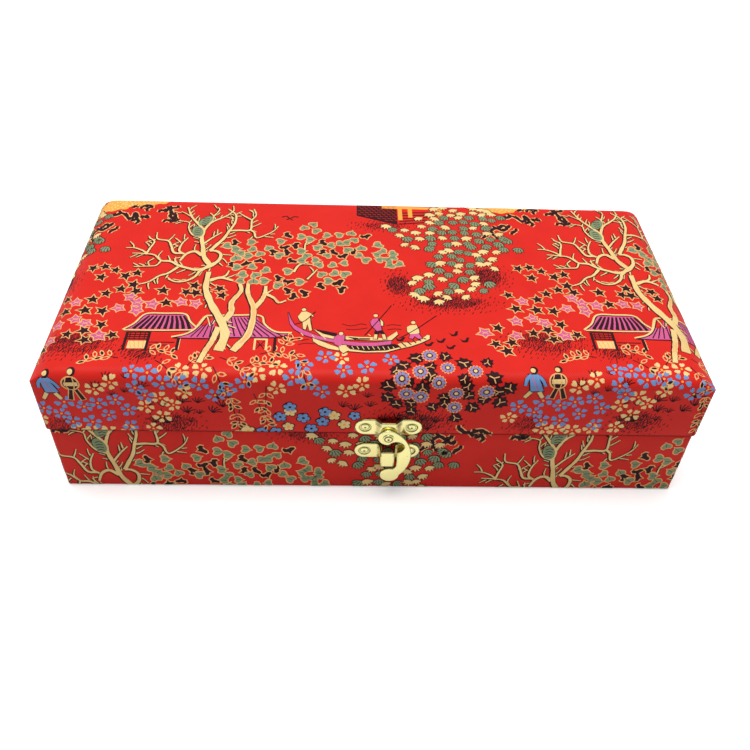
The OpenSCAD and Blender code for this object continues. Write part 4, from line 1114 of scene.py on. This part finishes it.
def woven(name, yarn, shifts, place, bounds, cuts, middle=None, keep_out=None):
    """One colour's floats on one sheet: clipped to it, cut along its folds, given thickness and laid on it.
    Shapes inside the middle lie flat and aren't cut. A colour that doesn't come up here has no piece."""
    crossing, inside = [], []
    for points, shapes in shapes_near(yarn, shifts, bounds):
        level = middle is not None and (np.abs(points[:, :2]) < middle).all()
        (inside if level else crossing).append((points, shapes))
    bm = bmesh.new()

    def take(groups):
        """Adds shapes to the mesh, outlines of many points as triangles."""
        points, faces = [], []
        for p, shapes in groups:
            faces += [[i + len(points) for i in f] for f in shapes]
            points += [tuple(q) for q in p]
        mesh = bpy.data.meshes.new("pieces")
        mesh.from_pydata(points, [], faces)
        bm.from_mesh(mesh)
        bpy.data.meshes.remove(mesh)
        bmesh.ops.triangulate(bm, faces=[f for f in bm.faces if len(f.verts) > 4])

    def split(at, way, clear=False):
        """Cuts the mesh along a straight line, and may clear what lies beyond it."""
        bmesh.ops.bisect_plane(bm, geom=bm.verts[:] + bm.edges[:] + bm.faces[:], dist=ON_CUT,
                               plane_co=at, plane_no=way, clear_outer=clear)

    if crossing:
        take(crossing)
        (a0, a1), (b0, b1) = bounds
        for edge, way in ((a1, 1), (a0, -1)):
            split((edge, 0, 0), (way, 0, 0), True)
        for edge, way in ((b1, 1), (b0, -1)):
            split((0, edge, 0), (0, way, 0), True)
        for edge in cuts[0]:
            split((edge, 0, 0), (1, 0, 0))
        for edge in cuts[1]:
            split((0, edge, 0), (0, 1, 0))
        if keep_out:
            outside = [f for f in bm.faces if keep_out(*f.calc_center_median()[:2])]
            bmesh.ops.delete(bm, geom=outside, context="FACES")
    if inside:
        take(inside)
    bmesh.ops.dissolve_degenerate(bm, edges=bm.edges, dist=SCRAP)
    if not bm.faces:
        bm.free()
        return None
    for face in bm.faces:
        if face.normal.z < 0:
            face.normal_flip()
    raised = set(bmesh.ops.extrude_face_region(bm, geom=bm.faces[:], use_keep_orig=True)["geom"])
    for vert in bm.verts:
        if vert not in raised:
            vert.co.z = -UNDER
    bmesh.ops.recalc_face_normals(bm, faces=bm.faces)
    mesh = bpy.data.meshes.new(name)
    bm.to_mesh(mesh)
    bm.free()
    flat = np.zeros(len(mesh.vertices) * 3)
    mesh.vertices.foreach_get("co", flat)
    flat = flat.reshape(-1, 3)
    corner = np.zeros(len(mesh.loops), int)
    mesh.loops.foreach_get("vertex_index", corner)
    mesh.uv_layers.new(name="cloth").data.foreach_set("uv", (flat[corner, :2] / 10).ravel())
    mesh.vertices.foreach_set("co", (off_cloth(place, *flat.T) * MM).ravel())
    mesh.update()
    mesh.materials.append(YARNS[yarn])
    made = put_in_scene(name, mesh)
    return made


LID_DRIFT = 3.7  # each repeat to the right sits this much further back
GLUED_UNDER = 10.5  # the last of the cloth on the lid has no floats
MID_ROLL = 60.5
lid_repeats = [(REPEAT * k, LID_HALF[1] + LID_DRIFT * k) for k in (-1, 0, 1)]
lid_bounds = [(-end + GLUED_UNDER, end - GLUED_UNDER) for end in LID_ENDS]
lid_middle = [half - run - 0.1 for half, run in zip(LID_HALF, EDGE_RUN)]
fold_s = [*LID_X.used[LID_X.wall_from - ROLL_STEPS:-1], *s_corner]
fold_t = [*LID_Y.used[LID_Y.wall_from - ROLL_STEPS:-1], MID_ROLL]
lid_cuts = [sorted(-at for at in folds) + sorted(folds) for folds in (fold_s, fold_t)]


def cut_away(s, t):
    """The corners that are cut out of the lid's sheet."""
    return abs(s) > S_EDGE and abs(t) > T_EDGE


lid_floats = [woven("lid_floats_" + yarn, yarn, lid_repeats, on_lid, lid_bounds, lid_cuts, lid_middle,
                    cut_away) for yarn in drawn]
lid_floats = [piece for piece in lid_floats if piece]
for piece in lid_floats:
    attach(piece, "lid")

STRIP_PLACE, STRIP_DRIFT = (-31.0, 20.1), -1.7
STRIP_SHOWN = (-37.0, 5.0)
strip_repeats = [(STRIP_PLACE[0] + REPEAT * k, STRIP_PLACE[1] + STRIP_DRIFT * k) for k in range(-3, 4)]
corners = u_stops[1:-1]
fold_u = {round(float(at + step * k), 4) for at in corners for step in corner_steps for k in (-1, 1)}
fold_v = [v for v in -BASE_USED if STRIP_SHOWN[0] < v < STRIP_SHOWN[1]]
base_cuts = (sorted(fold_u | set(corners)), sorted(fold_v))
base_bounds = ((-ROUND, ROUND), STRIP_SHOWN)
base_floats = [woven("base_floats_" + yarn, yarn, strip_repeats, on_base, base_bounds, base_cuts)
               for yarn in drawn]
base_floats = [piece for piece in base_floats if piece]
for piece in base_floats:
    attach(piece, "base")

# Lining: old-gold satin over thin foam on card. A pad fills the floor and another the lid's
# ceiling; panels line the walls. Pads are cut a little full, so the satin puckers along their edges.
gold_satin, satin_tree, satin_shader = finish("gold_satin", (0.74, 0.45, 0.12), 0.3, Sheen_Weight=0.2,
                                              Sheen_Roughness=0.35)
satin_space = object_space(satin_tree)
# Painted light and shade: a large noise lightens and darkens the satin as its soft folds would catch the
# light.
fold_light_and_shade = node(satin_tree, "ShaderNodeTexNoise", {"Vector": satin_space, "Scale": 0.12, "Detail": 3.0})
threads = node(satin_tree, "ShaderNodeTexWave", {"Vector": satin_space, "Scale": 1.6, "Distortion": 0.8})
gold_tone = mix(satin_tree, fold_light_and_shade.outputs[0], (0.64, 0.37, 0.085), (0.86, 0.56, 0.17))
satin_tree.links.new(gold_tone, satin_shader.inputs["Base Color"])
creased = node(satin_tree, "ShaderNodeTexNoise", {
    "Vector": satin_space, "Scale": 0.045, "Detail": 2.0, "Distortion": 0.9})
relief = sums(satin_tree, threads.outputs["Fac"], 0.02, creased.outputs[0])
bump(satin_tree, satin_shader, relief, 0.0016, 0.6)

PAD_LIP, PAD_ROLL = 0.6, 9  # upright edge of a pad, and the width of its round edge
PUCKER, UNEVEN_FOAM = 0.5, 0.15
PAD_EDGE_LINES = np.array([0, 0.15, 0.6, 1.4, 2.6, 4.2, 6.2, 8.6])
PAD_BAND, PAD_STEP = 11.5, 3.0  # further in than the band, rows and columns are a step apart
PANEL_STEP = 2.5


def padded_piece(name, bm, cad_node, body):
    """A finished pad or panel in the place of its CAD node."""
    mesh = bpy.data.meshes.new(name)
    bm.to_mesh(mesh)
    bm.free()
    mesh.materials.append(gold_satin)
    made = put_in_scene(name, mesh)
    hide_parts(cad_node)
    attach(made, body)


def pad(name, cad_node, body, seed, up):
    """A crowned pad, flat where it lies on its card, its satin puckered along the edge."""
    low, high = box_of(cad_node)
    middle = [(low[i] + high[i]) / 2 for i in (0, 1)]
    half = [(high[i] - low[i]) / 2 for i in (0, 1)]
    card_z, rise = low[2] if up > 0 else high[2], high[2] - low[2]
    chance = random.Random(seed)
    phase = [chance.uniform(0, 6.28) for _ in range(8)]

    def lines(h):
        """Where the rows or columns run, close together at the edges."""
        inner = np.linspace(-h + PAD_BAND, h - PAD_BAND, max(8, int(2 * h / PAD_STEP)))
        return np.concatenate([-h + PAD_EDGE_LINES, inner, (h - PAD_EDGE_LINES)[::-1]])

    def lift(d):
        """The round edge: from 0 at the edge to 1 where it meets the crown."""
        d = np.clip(d / PAD_ROLL, 0, 1)
        return np.sqrt(1 - (1 - d) ** 2)

    def swell(x, y):
        """How far the satin stands off the card."""
        dx, dy = half[0] - abs(x), half[1] - abs(y)
        crown = (lift(dx) ** -6 + lift(dy) ** -6) ** (-1 / 6) if dx > 0 and dy > 0 else 0
        along = x if dy < dx else y
        ripple = sum(math.sin(phase[i] + along * w) for i, w in enumerate((0.45, 0.71, 1.13))) / 3
        near_edge = math.exp(-((min(dx, dy) - 2.6) / 3.4) ** 2)
        broad = math.sin(x * 0.05 + phase[5]) * math.sin(y * 0.09 + phase[6])
        lip = PAD_LIP if min(dx, dy) > 0.1 else 0.0
        uneven = PUCKER * ripple * near_edge + UNEVEN_FOAM * broad * crown
        return lip + (rise - PAD_LIP) * crown + crown * uneven

    xs, ys = lines(half[0]), lines(half[1])
    bm = bmesh.new()
    for satin in (True, False):
        rows = [[bm.verts.new(((middle[0] + x) * MM, (middle[1] + y) * MM,
                               (card_z + up * (swell(x, y) if satin else 0)) * MM)) for x in xs] for y in ys]
        for one, two in zip(rows, rows[1:]):
            for i in range(len(xs) - 1):
                four = (one[i], one[i + 1], two[i + 1], two[i])
                bm.faces.new(four if satin == (up > 0) else four[::-1]).smooth = True
    bmesh.ops.remove_doubles(bm, verts=bm.verts, dist=SAME)
    padded_piece(name, bm, cad_node, body)


pad("floor_pad", "base_floor_pad", "base", 1, 1)
pad("ceiling_pad", "lid_lining_pad", "lid", 2, -1)


def wall_panel(cad_node, body, free_up, seed):
    """A satin wall panel: a thin slab with a round free edge, its face slightly uneven over the foam."""
    low, high = box_of(cad_node)
    along = 0 if high[0] - low[0] > high[1] - low[1] else 1
    through = 1 - along
    length, thick, height = high[along] - low[along], high[through] - low[through], high[2] - low[2]
    chance = random.Random(seed)
    phase = [chance.uniform(0, 6.28) for _ in range(4)]
    r = thick / 2
    outline = [(-r, 0)] + [(-r, z) for z in np.linspace(0, height - r, 8)[1:]]
    outline += [(x, height - r + y) for x, y in arc((0, 0), r, 180, 0, 8)]
    outline += [(r, z) for z in np.linspace(height - r, 0, 8)[1:]]
    bm = bmesh.new()
    rings = []
    for at in np.linspace(0, length, int(length / PANEL_STEP)):
        ring = []
        for x, z in outline:
            ripple = 0.10 * math.sin(at * 0.21 + phase[0]) + 0.07 * math.sin(at * 0.47 + phase[1] + z * 0.08)
            point = [0, 0, low[2] + z if free_up else high[2] - z]
            point[along] = low[along] + at
            point[through] = (low[through] + high[through]) / 2 + x * (0.93 + 0.6 * ripple * min(1, z / 6))
            ring.append(bm.verts.new([v * MM for v in point]))
        rings.append(ring)
    for one, two in zip(rings, rings[1:]):
        for i in range(len(outline)):
            j = (i + 1) % len(outline)
            bm.faces.new((one[i], one[j], two[j], two[i])).smooth = True
    bm.faces.new(rings[0])
    bm.faces.new(rings[-1])
    bmesh.ops.recalc_face_normals(bm, faces=bm.faces)
    padded_piece(cad_node.replace("lining", "panel"), bm, cad_node, body)


for number, side in enumerate(SIDES):
    wall_panel("base_lining_" + side, "base", True, 40 + number)
    wall_panel("lid_lining_" + side, "lid", False, 50 + number)

# Hinge: one strip of the same brocade, glued across the back seam. It is a single piece, its rows
# close together where the two rims meet.
(_, BACK_WALL, HINGE_LOW), (HINGE_HALF, STRIP_FACE, _) = box_of("hinge_cloth_base")
HINGE_HIGH = box_of("hinge_cloth_lid")[1][2]
PRESSED, PRESSED_RUN = 0.25, 0.6  # how much, and over what width, the strip's cut edge is pressed down
HINGE_PLACE = (-20.0, 150.0)
HINGE_WOVEN = ((-121.6, 121.6), (22.4, 47.5))  # the part of the strip that has floats
EDGE_LINES = np.array([0, 0.2, 0.5, 0.8])
BEND_LINES = np.linspace(SEAM_Z - 0.65, SEAM_Z + 0.65, 14)


def on_strip(a, z):
    """The strip's outer face, seen from behind: a runs along it and z up."""
    edge = np.minimum(np.minimum(HINGE_HALF - np.abs(a), z - HINGE_LOW), HINGE_HIGH - z)
    soft = np.clip(edge / PRESSED_RUN, 0, 1)
    return np.stack([-a, STRIP_FACE - PRESSED * (1 - soft) ** 2, z], axis=-1)


strip_columns = np.concatenate([-HINGE_HALF + EDGE_LINES, np.linspace(-118, 118, 60),
                                (HINGE_HALF - EDGE_LINES)[::-1]])
strip_rows = np.concatenate([HINGE_LOW + EDGE_LINES, np.linspace(24, 34, 6), BEND_LINES,
                             np.linspace(36, 46, 6), (HINGE_HIGH - EDGE_LINES)[::-1]])
strip = wrap("hinge_strip", [(strip_columns, strip_rows)], on_strip)
bm = bmesh.new()
bm.from_mesh(strip.data)
face_side = set(bmesh.ops.extrude_face_region(bm, geom=bm.faces[:], use_keep_orig=True)["geom"])
for vert in bm.verts:
    if vert not in face_side:
        vert.co.y = (BACK_WALL + 0.02) * MM
bmesh.ops.recalc_face_normals(bm, faces=bm.faces)
bm.to_mesh(strip.data)
bm.free()
strip.data.materials.append(red_satin)

hinge_repeats = [(HINGE_PLACE[0] + REPEAT * k, HINGE_PLACE[1]) for k in (-1, 0, 1, 2)]
strip_floats = [woven("hinge_floats_" + yarn, yarn, hinge_repeats, on_strip, HINGE_WOVEN, ((), BEND_LINES))
                for yarn in drawn if yarn != "red"]
strip_floats = [piece for piece in strip_floats if piece]
for piece in [strip] + strip_floats:
    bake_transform(piece)
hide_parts("hinge_cloth_base", "hinge_cloth_lid")

# Latch: two plates bent from sheet brass and nailed through the cloth, and a horn-shaped hook on a
# rivet. The pressings are tumbled, so every edge is round, and the nails sit in dimples.
SHEET = 0.9
EAR_MIDDLE, EAR_R = 9.2, 4.2  # the round ears: from the latch's middle to the nail, and their radius
DIMPLE_R, DIMPLE_DEEP = 2.5, 0.45
SHARP = math.radians(50)  # an edge that turns more than this stays sharp
FINE_SAME = 0.000004  # on a brass piece, points nearer than this are one, in metres
plate_low, plate_high = box_of("latch_plate")
keeper_low, keeper_high = box_of("keeper_plate")
rivet_low, rivet_high = box_of("latch_rivet")
hook_low, hook_high = box_of("latch_hook")
LATCH_X = (plate_low[0] + plate_high[0]) / 2
LID_FRONT, PLATE_Z = plate_high[1], plate_high[2] - EAR_R
BASE_FRONT, KEEPER_Z = keeper_high[1], (keeper_low[2] + keeper_high[2]) / 2
PIVOT_Z = (rivet_low[2] + rivet_high[2]) / 2
HOOK_BACK, HOOK_T = hook_high[1], hook_high[1] - hook_low[1]

brass, brass_tree, brass_shader = finish("polished_brass", (0.97, 0.88, 0.40), 0.2, Metallic=1.0)
brass_space = object_space(brass_tree)
wear = node(brass_tree, "ShaderNodeTexNoise", {
    "Vector": brass_space, "Scale": 0.5, "Detail": 5.0, "Roughness": 0.65}).outputs[0]
drawn_out = node(brass_tree, "ShaderNodeMapping", {0: brass_space, 3: (6.0, 1.0, 0.8)}).outputs[0]
scratch = node(brass_tree, "ShaderNodeTexNoise", {"Vector": drawn_out, "Scale": 2.0, "Detail": 4.0})
# Painted shade and painted dark reflection, read per point, darken dimples, rims, bends and nail heads; the
# noise spots are real tarnish.
painted_shade_input = node(brass_tree, "ShaderNodeAttribute", attribute_name="painted_shade")
spot = node(brass_tree, "ShaderNodeMapRange", {
    "Value": wear, "From Min": 0.60, "From Max": 0.72, "To Min": 0.0, "To Max": 0.35})
shade_and_tarnish = node(brass_tree, "ShaderNodeMath", {0: painted_shade_input.outputs["Fac"], 1: spot.outputs[0]}, use_clamp=True)
shade_and_tarnish_dimming = node(brass_tree, "ShaderNodeMapRange", {"Value": shade_and_tarnish.outputs[0], "To Min": 1.0, "To Max": 0.07})
clean = mix(brass_tree, wear, (0.97, 0.86, 0.30), (1.0, 1.0, 0.52))
shaded_tarnished_brass = node(brass_tree, "ShaderNodeVectorMath", {0: clean, "Scale": shade_and_tarnish_dimming.outputs[0]}, operation="SCALE")
brass_tree.links.new(shaded_tarnished_brass.outputs[0], brass_shader.inputs["Base Color"])
rough = node(brass_tree, "ShaderNodeMapRange", {
    "Value": wear, "From Min": 0.3, "From Max": 0.7, "To Min": 0.14, "To Max": 0.3})
brass_tree.links.new(rough.outputs[0], brass_shader.inputs["Roughness"])
bump(brass_tree, brass_shader, scratch.outputs[0], 0.00002, 0.5)


def brass_part(name, points, faces, painted_shade):
    """A brass piece from points in mm and faces: smooth, its real corners sharp, each point carrying its
    painted shade.
    """
    mesh = bpy.data.meshes.new(name)
    mesh.from_pydata([tuple(p) for p in np.array(points) * MM], [], faces)
    painted_dark = mesh.attributes.new("painted_shade", "FLOAT", "POINT")
    painted_dark.data.foreach_set("value", np.array(painted_shade, np.float32).ravel())
    bm = bmesh.new()
    bm.from_mesh(mesh)
    bmesh.ops.remove_doubles(bm, verts=bm.verts, dist=FINE_SAME)
    bmesh.ops.dissolve_degenerate(bm, edges=bm.edges, dist=FINE_SAME)
    bmesh.ops.recalc_face_normals(bm, faces=bm.faces)
    bm.to_mesh(mesh)
    bm.free()
    mesh.shade_smooth()
    mesh.set_sharp_from_angle(angle=SHARP)
    mesh.materials.append(brass)
    made = put_in_scene(name, mesh)
    return made


def bent(corners, reach, step=0.3):
    """A sheet's path in plan, its bends rounded over a reach: points about every step, and their normals."""
    corners = [np.array(c, float) for c in corners]
    ends = (0, 0.05, 0.14, 0.28)
    path = [corners[0] + (e, 0) for e in ends]
    for a, b, c in zip(corners, corners[1:], corners[2:]):
        legs = [(p - b) / np.linalg.norm(p - b) for p in (a, c)]
        near = min([reach] + [0.45 * np.linalg.norm(p - b) for p in (a, c)])
        start, end = b + legs[0] * near, b + legs[1] * near
        path += [(1 - t) ** 2 * start + 2 * t * (1 - t) * b + t * t * end for t in np.linspace(0, 1, 8)]
    path += [corners[-1] - (e, 0) for e in ends[::-1]]
    out = [path[0]]
    for a, b in zip(path, path[1:]):
        count = max(1, int(np.linalg.norm(b - a) / step))
        out += [a + (b - a) * (k + 1) / count for k in range(count)]
    out = np.array(out)
    way = np.gradient(out, axis=0)
    way /= np.linalg.norm(way, axis=1, keepdims=True)
    return out, np.stack([way[:, 1], -way[:, 0]], axis=1)


def bent_plate(name, face_y, middle_z, corners, reach, lobe=None):
    """A plate with round ears, dimpled for two nails. A lobe (drop, radius) bulges its lower edge."""
    path, normal = bent(corners, reach)
    length = cloth_used(path)
    length -= length[-1] / 2
    x = path[:, 0]
    out = np.abs(x) - EAR_MIDDLE
    high = np.where(out > 0, np.sqrt(np.maximum(EAR_R ** 2 - out ** 2, 0)), EAR_R)
    low = high
    if lobe:
        drop, radius = lobe
        bulge = np.sqrt(np.maximum(radius ** 2 - length ** 2, 0)) * (np.abs(length) < radius)
        low = np.maximum(high, drop + bulge)
    edge = np.array([0, 0.05, 0.14, 0.28, 0.45]) / EAR_R
    inner = np.linspace(-1 + 0.7 / EAR_R, 1 - 0.7 / EAR_R, 25)
    across = np.concatenate([-1 + edge, inner, (1 - edge)[::-1]])
    z = np.where(across[:, None] > 0, across[:, None] * high, across[:, None] * low)

    to_edge = np.where(z > 0, high - z, low + z)
    to_edge = np.where(out > 0, EAR_R - np.hypot(out, z), to_edge)
    edge_r = SHEET / 2
    rounded = edge_r - np.clip(to_edge, 0, edge_r)
    sink = edge_r - np.sqrt(np.maximum(edge_r ** 2 - rounded ** 2, 0))
    pit = np.clip((DIMPLE_R + 0.05 - np.hypot(out, z)) / 0.5, 0, 1)
    sink += DIMPLE_DEEP * pit * pit * (3 - 2 * pit) + 0.10 * np.clip(1 - to_edge / 1.6, 0, 1) ** 2
    sides = [np.stack([x + LATCH_X - normal[:, 0] * deep, face_y + path[:, 1] - normal[:, 1] * deep,
                       z + middle_z], axis=-1) for deep in (sink, np.full(z.shape, SHEET))]
    rows, columns = z.shape

    def at(side, j, i):
        """The number of a point on the front (0) or the back (1)."""
        return (side * rows + j) * columns + i

    faces = [(at(side, j, i), at(side, j, i + 1), at(side, j + 1, i + 1), at(side, j + 1, i))
             for side in (0, 1) for j in range(rows - 1) for i in range(columns - 1)]
    rim = [(0, i) for i in range(columns)] + [(j, columns - 1) for j in range(1, rows)]
    rim += [(rows - 1, i) for i in range(columns - 2, -1, -1)] + [(j, 0) for j in range(rows - 2, 0, -1)]
    faces += [(at(0, *p), at(1, *p), at(1, *q), at(0, *q)) for p, q in zip(rim, rim[1:] + rim[:1])]
    # Painted shade and dark reflection: strongest on a dimple's wall, along the rounded rim and in the bends
    # near the edge.
    in_bends = np.clip(3 * np.abs(normal[:, 0]) - 0.6, 0, 1) * (to_edge < 2.2)
    painted_dark = 3.8 * pit * (1 - pit) + 0.8 * (to_edge < 0.25) + 0.5 * in_bends
    return brass_part(name, np.concatenate([side.reshape(-1, 3) for side in sides]), faces,
                      np.concatenate([np.clip(painted_dark, 0, 1), np.zeros(z.shape)]))


def lathed(name, profile, steps=40):
    """A turned piece from its profile of (radius, y, painted shade), front to back, both ends on the axis."""
    angles = np.linspace(0, 2 * math.pi, steps, endpoint=False)
    points = [(r * math.cos(a), y, r * math.sin(a)) for r, y, _ in profile for a in angles]
    faces = []
    for k in range(0, (len(profile) - 1) * steps, steps):
        for i in range(steps):
            j = (i + 1) % steps
            faces.append((k + i, k + j, k + steps + j, k + steps + i))
    return brass_part(name, points, faces, [painted_dark for _, _, painted_dark in profile for a in angles])


EAR_END = EAR_MIDDLE + EAR_R
upper_plate = bent_plate("upper_plate", LID_FRONT, PLATE_Z, [
    (-EAR_END, -SHEET), (-5.23, -SHEET), (-2.95, -3.0), (2.95, -3.0), (5.23, -SHEET), (EAR_END, -SHEET)],
    0.8, (2.4, 3.7))
staple_plate = bent_plate("staple_plate", BASE_FRONT, KEEPER_Z, [
    (-EAR_END, -SHEET), (-3.49, -SHEET), (-2.9, -5.9), (2.9, -5.9), (3.49, -SHEET), (EAR_END, -SHEET)], 1.2)
for plate, cad_node, body in ((upper_plate, "latch_plate", "lid"), (staple_plate, "keeper_plate", "base")):
    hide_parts(cad_node)
    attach(plate, body)

# Nails and rivet: turned brass, domed, each with a punch mark in the middle. The nails of a plate
# are alike; the rivet's head has a raised ring and its tail is spread behind the bridge.
# Each profile point's third number is painted shade: it darkens the punch mark and the head's edge, where
# shade and dark reflections fall.
head = [(0, -0.34, 1), (0.3, -0.36, 1), (0.42, -0.58, 0.4), (0.6, -0.57, 0), (1.15, -0.44, 0), (1.4, -0.3, 0),
        (1.6, -0.2, 0.5), (1.8, 0.0, 1)]
shank = [(0.7, 0.0, 0), (0.7, 3.2, 0), (0.35, 3.9, 0), (0, 3.98, 0)]
nail_shape = lathed("nail_shape", head + shank)
for name, cad_node, face_y, z, body in (("upper_nails", "latch_nails", LID_FRONT, PLATE_Z, "lid"),
                                        ("staple_nails", "keeper_nails", BASE_FRONT, KEEPER_Z, "base")):
    places = bpy.data.meshes.new(name)
    head_y = face_y - SHEET + DIMPLE_DEEP
    ears = [(LATCH_X + side * EAR_MIDDLE, head_y, z) for side in (-1, 1)]
    places.from_pydata([tuple(v * MM for v in ear) for ear in ears], [], [])
    pair = put_in_scene(name, places)
    pair.data = grow(pair, Motif=nail_shape, Scatter=False, Size=1.0, Share_To=1.01, Yarn=brass)
    pair.data.set_sharp_from_angle(angle=SHARP)
    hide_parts(cad_node)
    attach(pair, body)
bpy.data.objects.remove(nail_shape)

RIVET_HEAD_Y = HOOK_BACK - 1.5
# The rivet's profile paints shade into its punch mark, its ring groove and the edge of its head.
rivet = lathed("rivet", [
    (0, -0.3, 1), (0.34, -0.32, 1), (0.46, -0.66, 0.5), (0.6, -0.67, 0), (0.8, -0.66, 0),
    (1.2, -0.56, 0), (1.34, -0.42, 0.6), (1.42, -0.26, 1), (1.64, -0.26, 1), (1.75, -0.38, 0.2),
    (1.95, -0.34, 0), (2.12, -0.2, 0), (2.2, 0.0, 0.8), (1.3, 0.0, 0), (1.3, 2.5, 0), (1.9, 2.5, 0),
    (1.9, 3.1, 0), (1.6, 3.4, 0), (0, 3.5, 0)])
rivet.data.transform(Matrix.Translation((LATCH_X * MM, RIVET_HEAD_Y * MM, PIVOT_Z * MM)))
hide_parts("latch_rivet")
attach(rivet, "lid")

# Hook: stamped from brass sheet to a horn's outline, tumbled until its edge is round from both faces,
# and hung on the rivet. The outline is that of the CAD hook's back face.
HOOK_EDGE = 0.6
bm = bmesh.new()
bm.from_mesh(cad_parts["latch_hook"].data)
bmesh.ops.remove_doubles(bm, verts=bm.verts, dist=0.000002)
back = {f for f in bm.faces if f.normal.y > 0.99 and abs(f.calc_center_median().y - HOOK_BACK * MM) < 0.00001}
joined = {}
for edge in bm.edges:
    if len([f for f in edge.link_faces if f in back]) == 1:
        for vert in edge.verts:
            joined.setdefault(vert, []).append(edge.other_vert(vert))
outline = bpy.data.curves.new("horn_outline", "CURVE")
outline.dimensions = "2D"
outline.fill_mode = "BOTH"
outline.bevel_depth = HOOK_EDGE * MM
outline.bevel_resolution = 4
outline.offset = -HOOK_EDGE * MM
outline.extrude = (HOOK_T / 2 - HOOK_EDGE) * MM
while joined:
    start = here = min(joined, key=lambda v: v.index)
    ring, came = [], None
    while here in joined:
        ring.append((here.co.x, here.co.z))
        ways = [v for v in joined.pop(here) if v is not came]
        came, here = here, ways[0]
        if here is start:
            break
    spline = outline.splines.new("POLY")
    spline.points.add(len(ring) - 1)
    for point, (x, z) in zip(spline.points, ring):
        point.co = (x, z, 0, 1)
    spline.use_cyclic_u = True
bm.free()
stamped = put_in_scene("horn_outline", outline)
solid = bpy.data.meshes.new_from_object(stamped.evaluated_get(bpy.context.evaluated_depsgraph_get()))
horn_points = [(v.co.x / MM, HOOK_BACK - HOOK_T / 2 - v.co.z / MM, v.co.y / MM) for v in solid.vertices]
# Painted dark reflection along the hook's rounded edge; its flat faces stay bright.
painted_rim_dark = [0.75 * (abs(v.co.z) / MM < HOOK_T / 2 - 0.3) for v in solid.vertices]
horn_hook = brass_part("horn_hook", horn_points, [list(p.vertices) for p in solid.polygons], painted_rim_dark)
bpy.data.objects.remove(stamped)
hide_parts("latch_hook")
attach(horn_hook, "hook")
